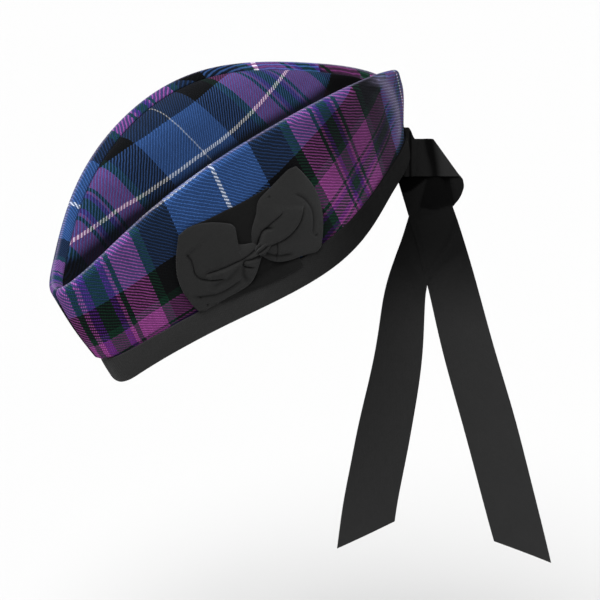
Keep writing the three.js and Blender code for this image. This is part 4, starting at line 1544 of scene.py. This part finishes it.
class GlengarryProps(PropertyGroup):
    """Everything that a user of the part would change."""

    sizes: PointerProperty(type=GlengarrySizes)
    colours: PointerProperty(type=GlengarryColours)


class GLENGARRY_OT_stage(Operator):
    """Sets up the floor, the lights and the camera"""

    bl_idname = "glengarry.stage"
    bl_label = "Stage"

    def execute(self, context):
        build_camera()
        build_lights()
        build_floor()
        return {"FINISHED"}


class GLENGARRY_OT_sides(Operator):
    """Builds the two tartan sides"""

    bl_idname = "glengarry.sides"
    bl_label = "Sides"

    def execute(self, context):
        material = tartan_material()
        thickness = settings().sizes.tartan_cloth / MM
        for name, side in zip(TARTAN_SIDES, (-1, 1)):
            points, cloth = side_surface(side)
            add_sheet(name, tip(points), cloth, thickness, material)
        return {"FINISHED"}


class GLENGARRY_OT_crown(Operator):
    """Builds the folded tartan crown between the sides"""

    bl_idname = "glengarry.crown"
    bl_label = "Crown"

    def execute(self, context):
        material = bpy.data.materials.get("tartan twill") or tartan_material()
        points, cloth = crown_surface()
        add_sheet("tartan_crown", tip(points), cloth, settings().sizes.crown_cloth / MM, material)
        return {"FINISHED"}


class GLENGARRY_OT_binding(Operator):
    """Builds the black binding round the head opening"""

    bl_idname = "glengarry.binding"
    bl_label = "Binding"

    def execute(self, context):
        black = settings().colours.binding
        material = ribbon_material("binding weave", black, rib=0.9, roughness=0.85, sheen=0.03)
        points, cloth = band_surface()
        add_ring("binding_band", tip(points), wrapped_quads(*points.shape[:2]), cloth, material)
        return {"FINISHED"}


class GLENGARRY_OT_cockade(Operator):
    """Builds the ribbon cockade on the left side"""

    bl_idname = "glengarry.cockade"
    bl_label = "Cockade"

    def execute(self, context):
        black = settings().colours.cockade
        material = ribbon_material("cockade ribbon", black, rib=0.55, roughness=0.85, sheen=0.06)
        ribbon = settings().sizes.cockade_ribbon / MM
        for name, loop in LOOPS.items():
            add_sheet(name, *loop_surface(loop), ribbon, material)
        add_sheet("cockade_backing", *backing_surface(), ribbon * BACKING_THICKNESS, material)
        points, cloth = knot_surface()
        add_ring("cockade_pinch", points, barrel(*points.shape[:2]), cloth, material)
        return {"FINISHED"}


class GLENGARRY_OT_tails(Operator):
    """Builds the two ribbon tails at the back"""

    bl_idname = "glengarry.tails"
    bl_label = "Tails"

    def execute(self, context):
        black = settings().colours.tails
        material = ribbon_material("tail ribbon", black, rib=0.6, roughness=0.7, sheen=0.08)
        ribbon = settings().sizes.tail_ribbon / MM
        add_sheet("ribbon_tail_left", *left_tail_surface(), ribbon, material)
        add_sheet("ribbon_tail_right", *right_tail_surface(), ribbon, material)
        return {"FINISHED"}


OPERATORS = (
    GLENGARRY_OT_stage,
    GLENGARRY_OT_sides,
    GLENGARRY_OT_crown,
    GLENGARRY_OT_binding,
    GLENGARRY_OT_cockade,
    GLENGARRY_OT_tails,
)


class GLENGARRY_PT_panel(Panel):
    """Lists the pieces and their settings"""

    bl_idname = "GLENGARRY_PT_panel"
    bl_label = "Glengarry"
    bl_space_type = "VIEW_3D"
    bl_region_type = "UI"
    bl_category = "Glengarry"

    def draw(self, context):
        props = context.scene.glengarry
        for group in (props.sizes, props.colours):
            for name in group.__annotations__:
                self.layout.prop(group, name)
        for operator in OPERATORS:
            self.layout.operator(operator.bl_idname)


CLASSES = (GlengarrySizes, GlengarryColours, GlengarryProps, *OPERATORS, GLENGARRY_PT_panel)


def register():
    for item in CLASSES:
        bpy.utils.register_class(item)
    bpy.types.Scene.glengarry = PointerProperty(type=GlengarryProps)


def unregister():
    del bpy.types.Scene.glengarry
    for item in reversed(CLASSES):
        bpy.utils.unregister_class(item)


def main():
    register()
    bpy.ops.glengarry.stage()
    bpy.ops.glengarry.sides()
    bpy.ops.glengarry.crown()
    bpy.ops.glengarry.binding()
    bpy.ops.glengarry.cockade()
    bpy.ops.glengarry.tails()
    bpy.context.view_layer.update()


if __name__ == "__main__":
    main()
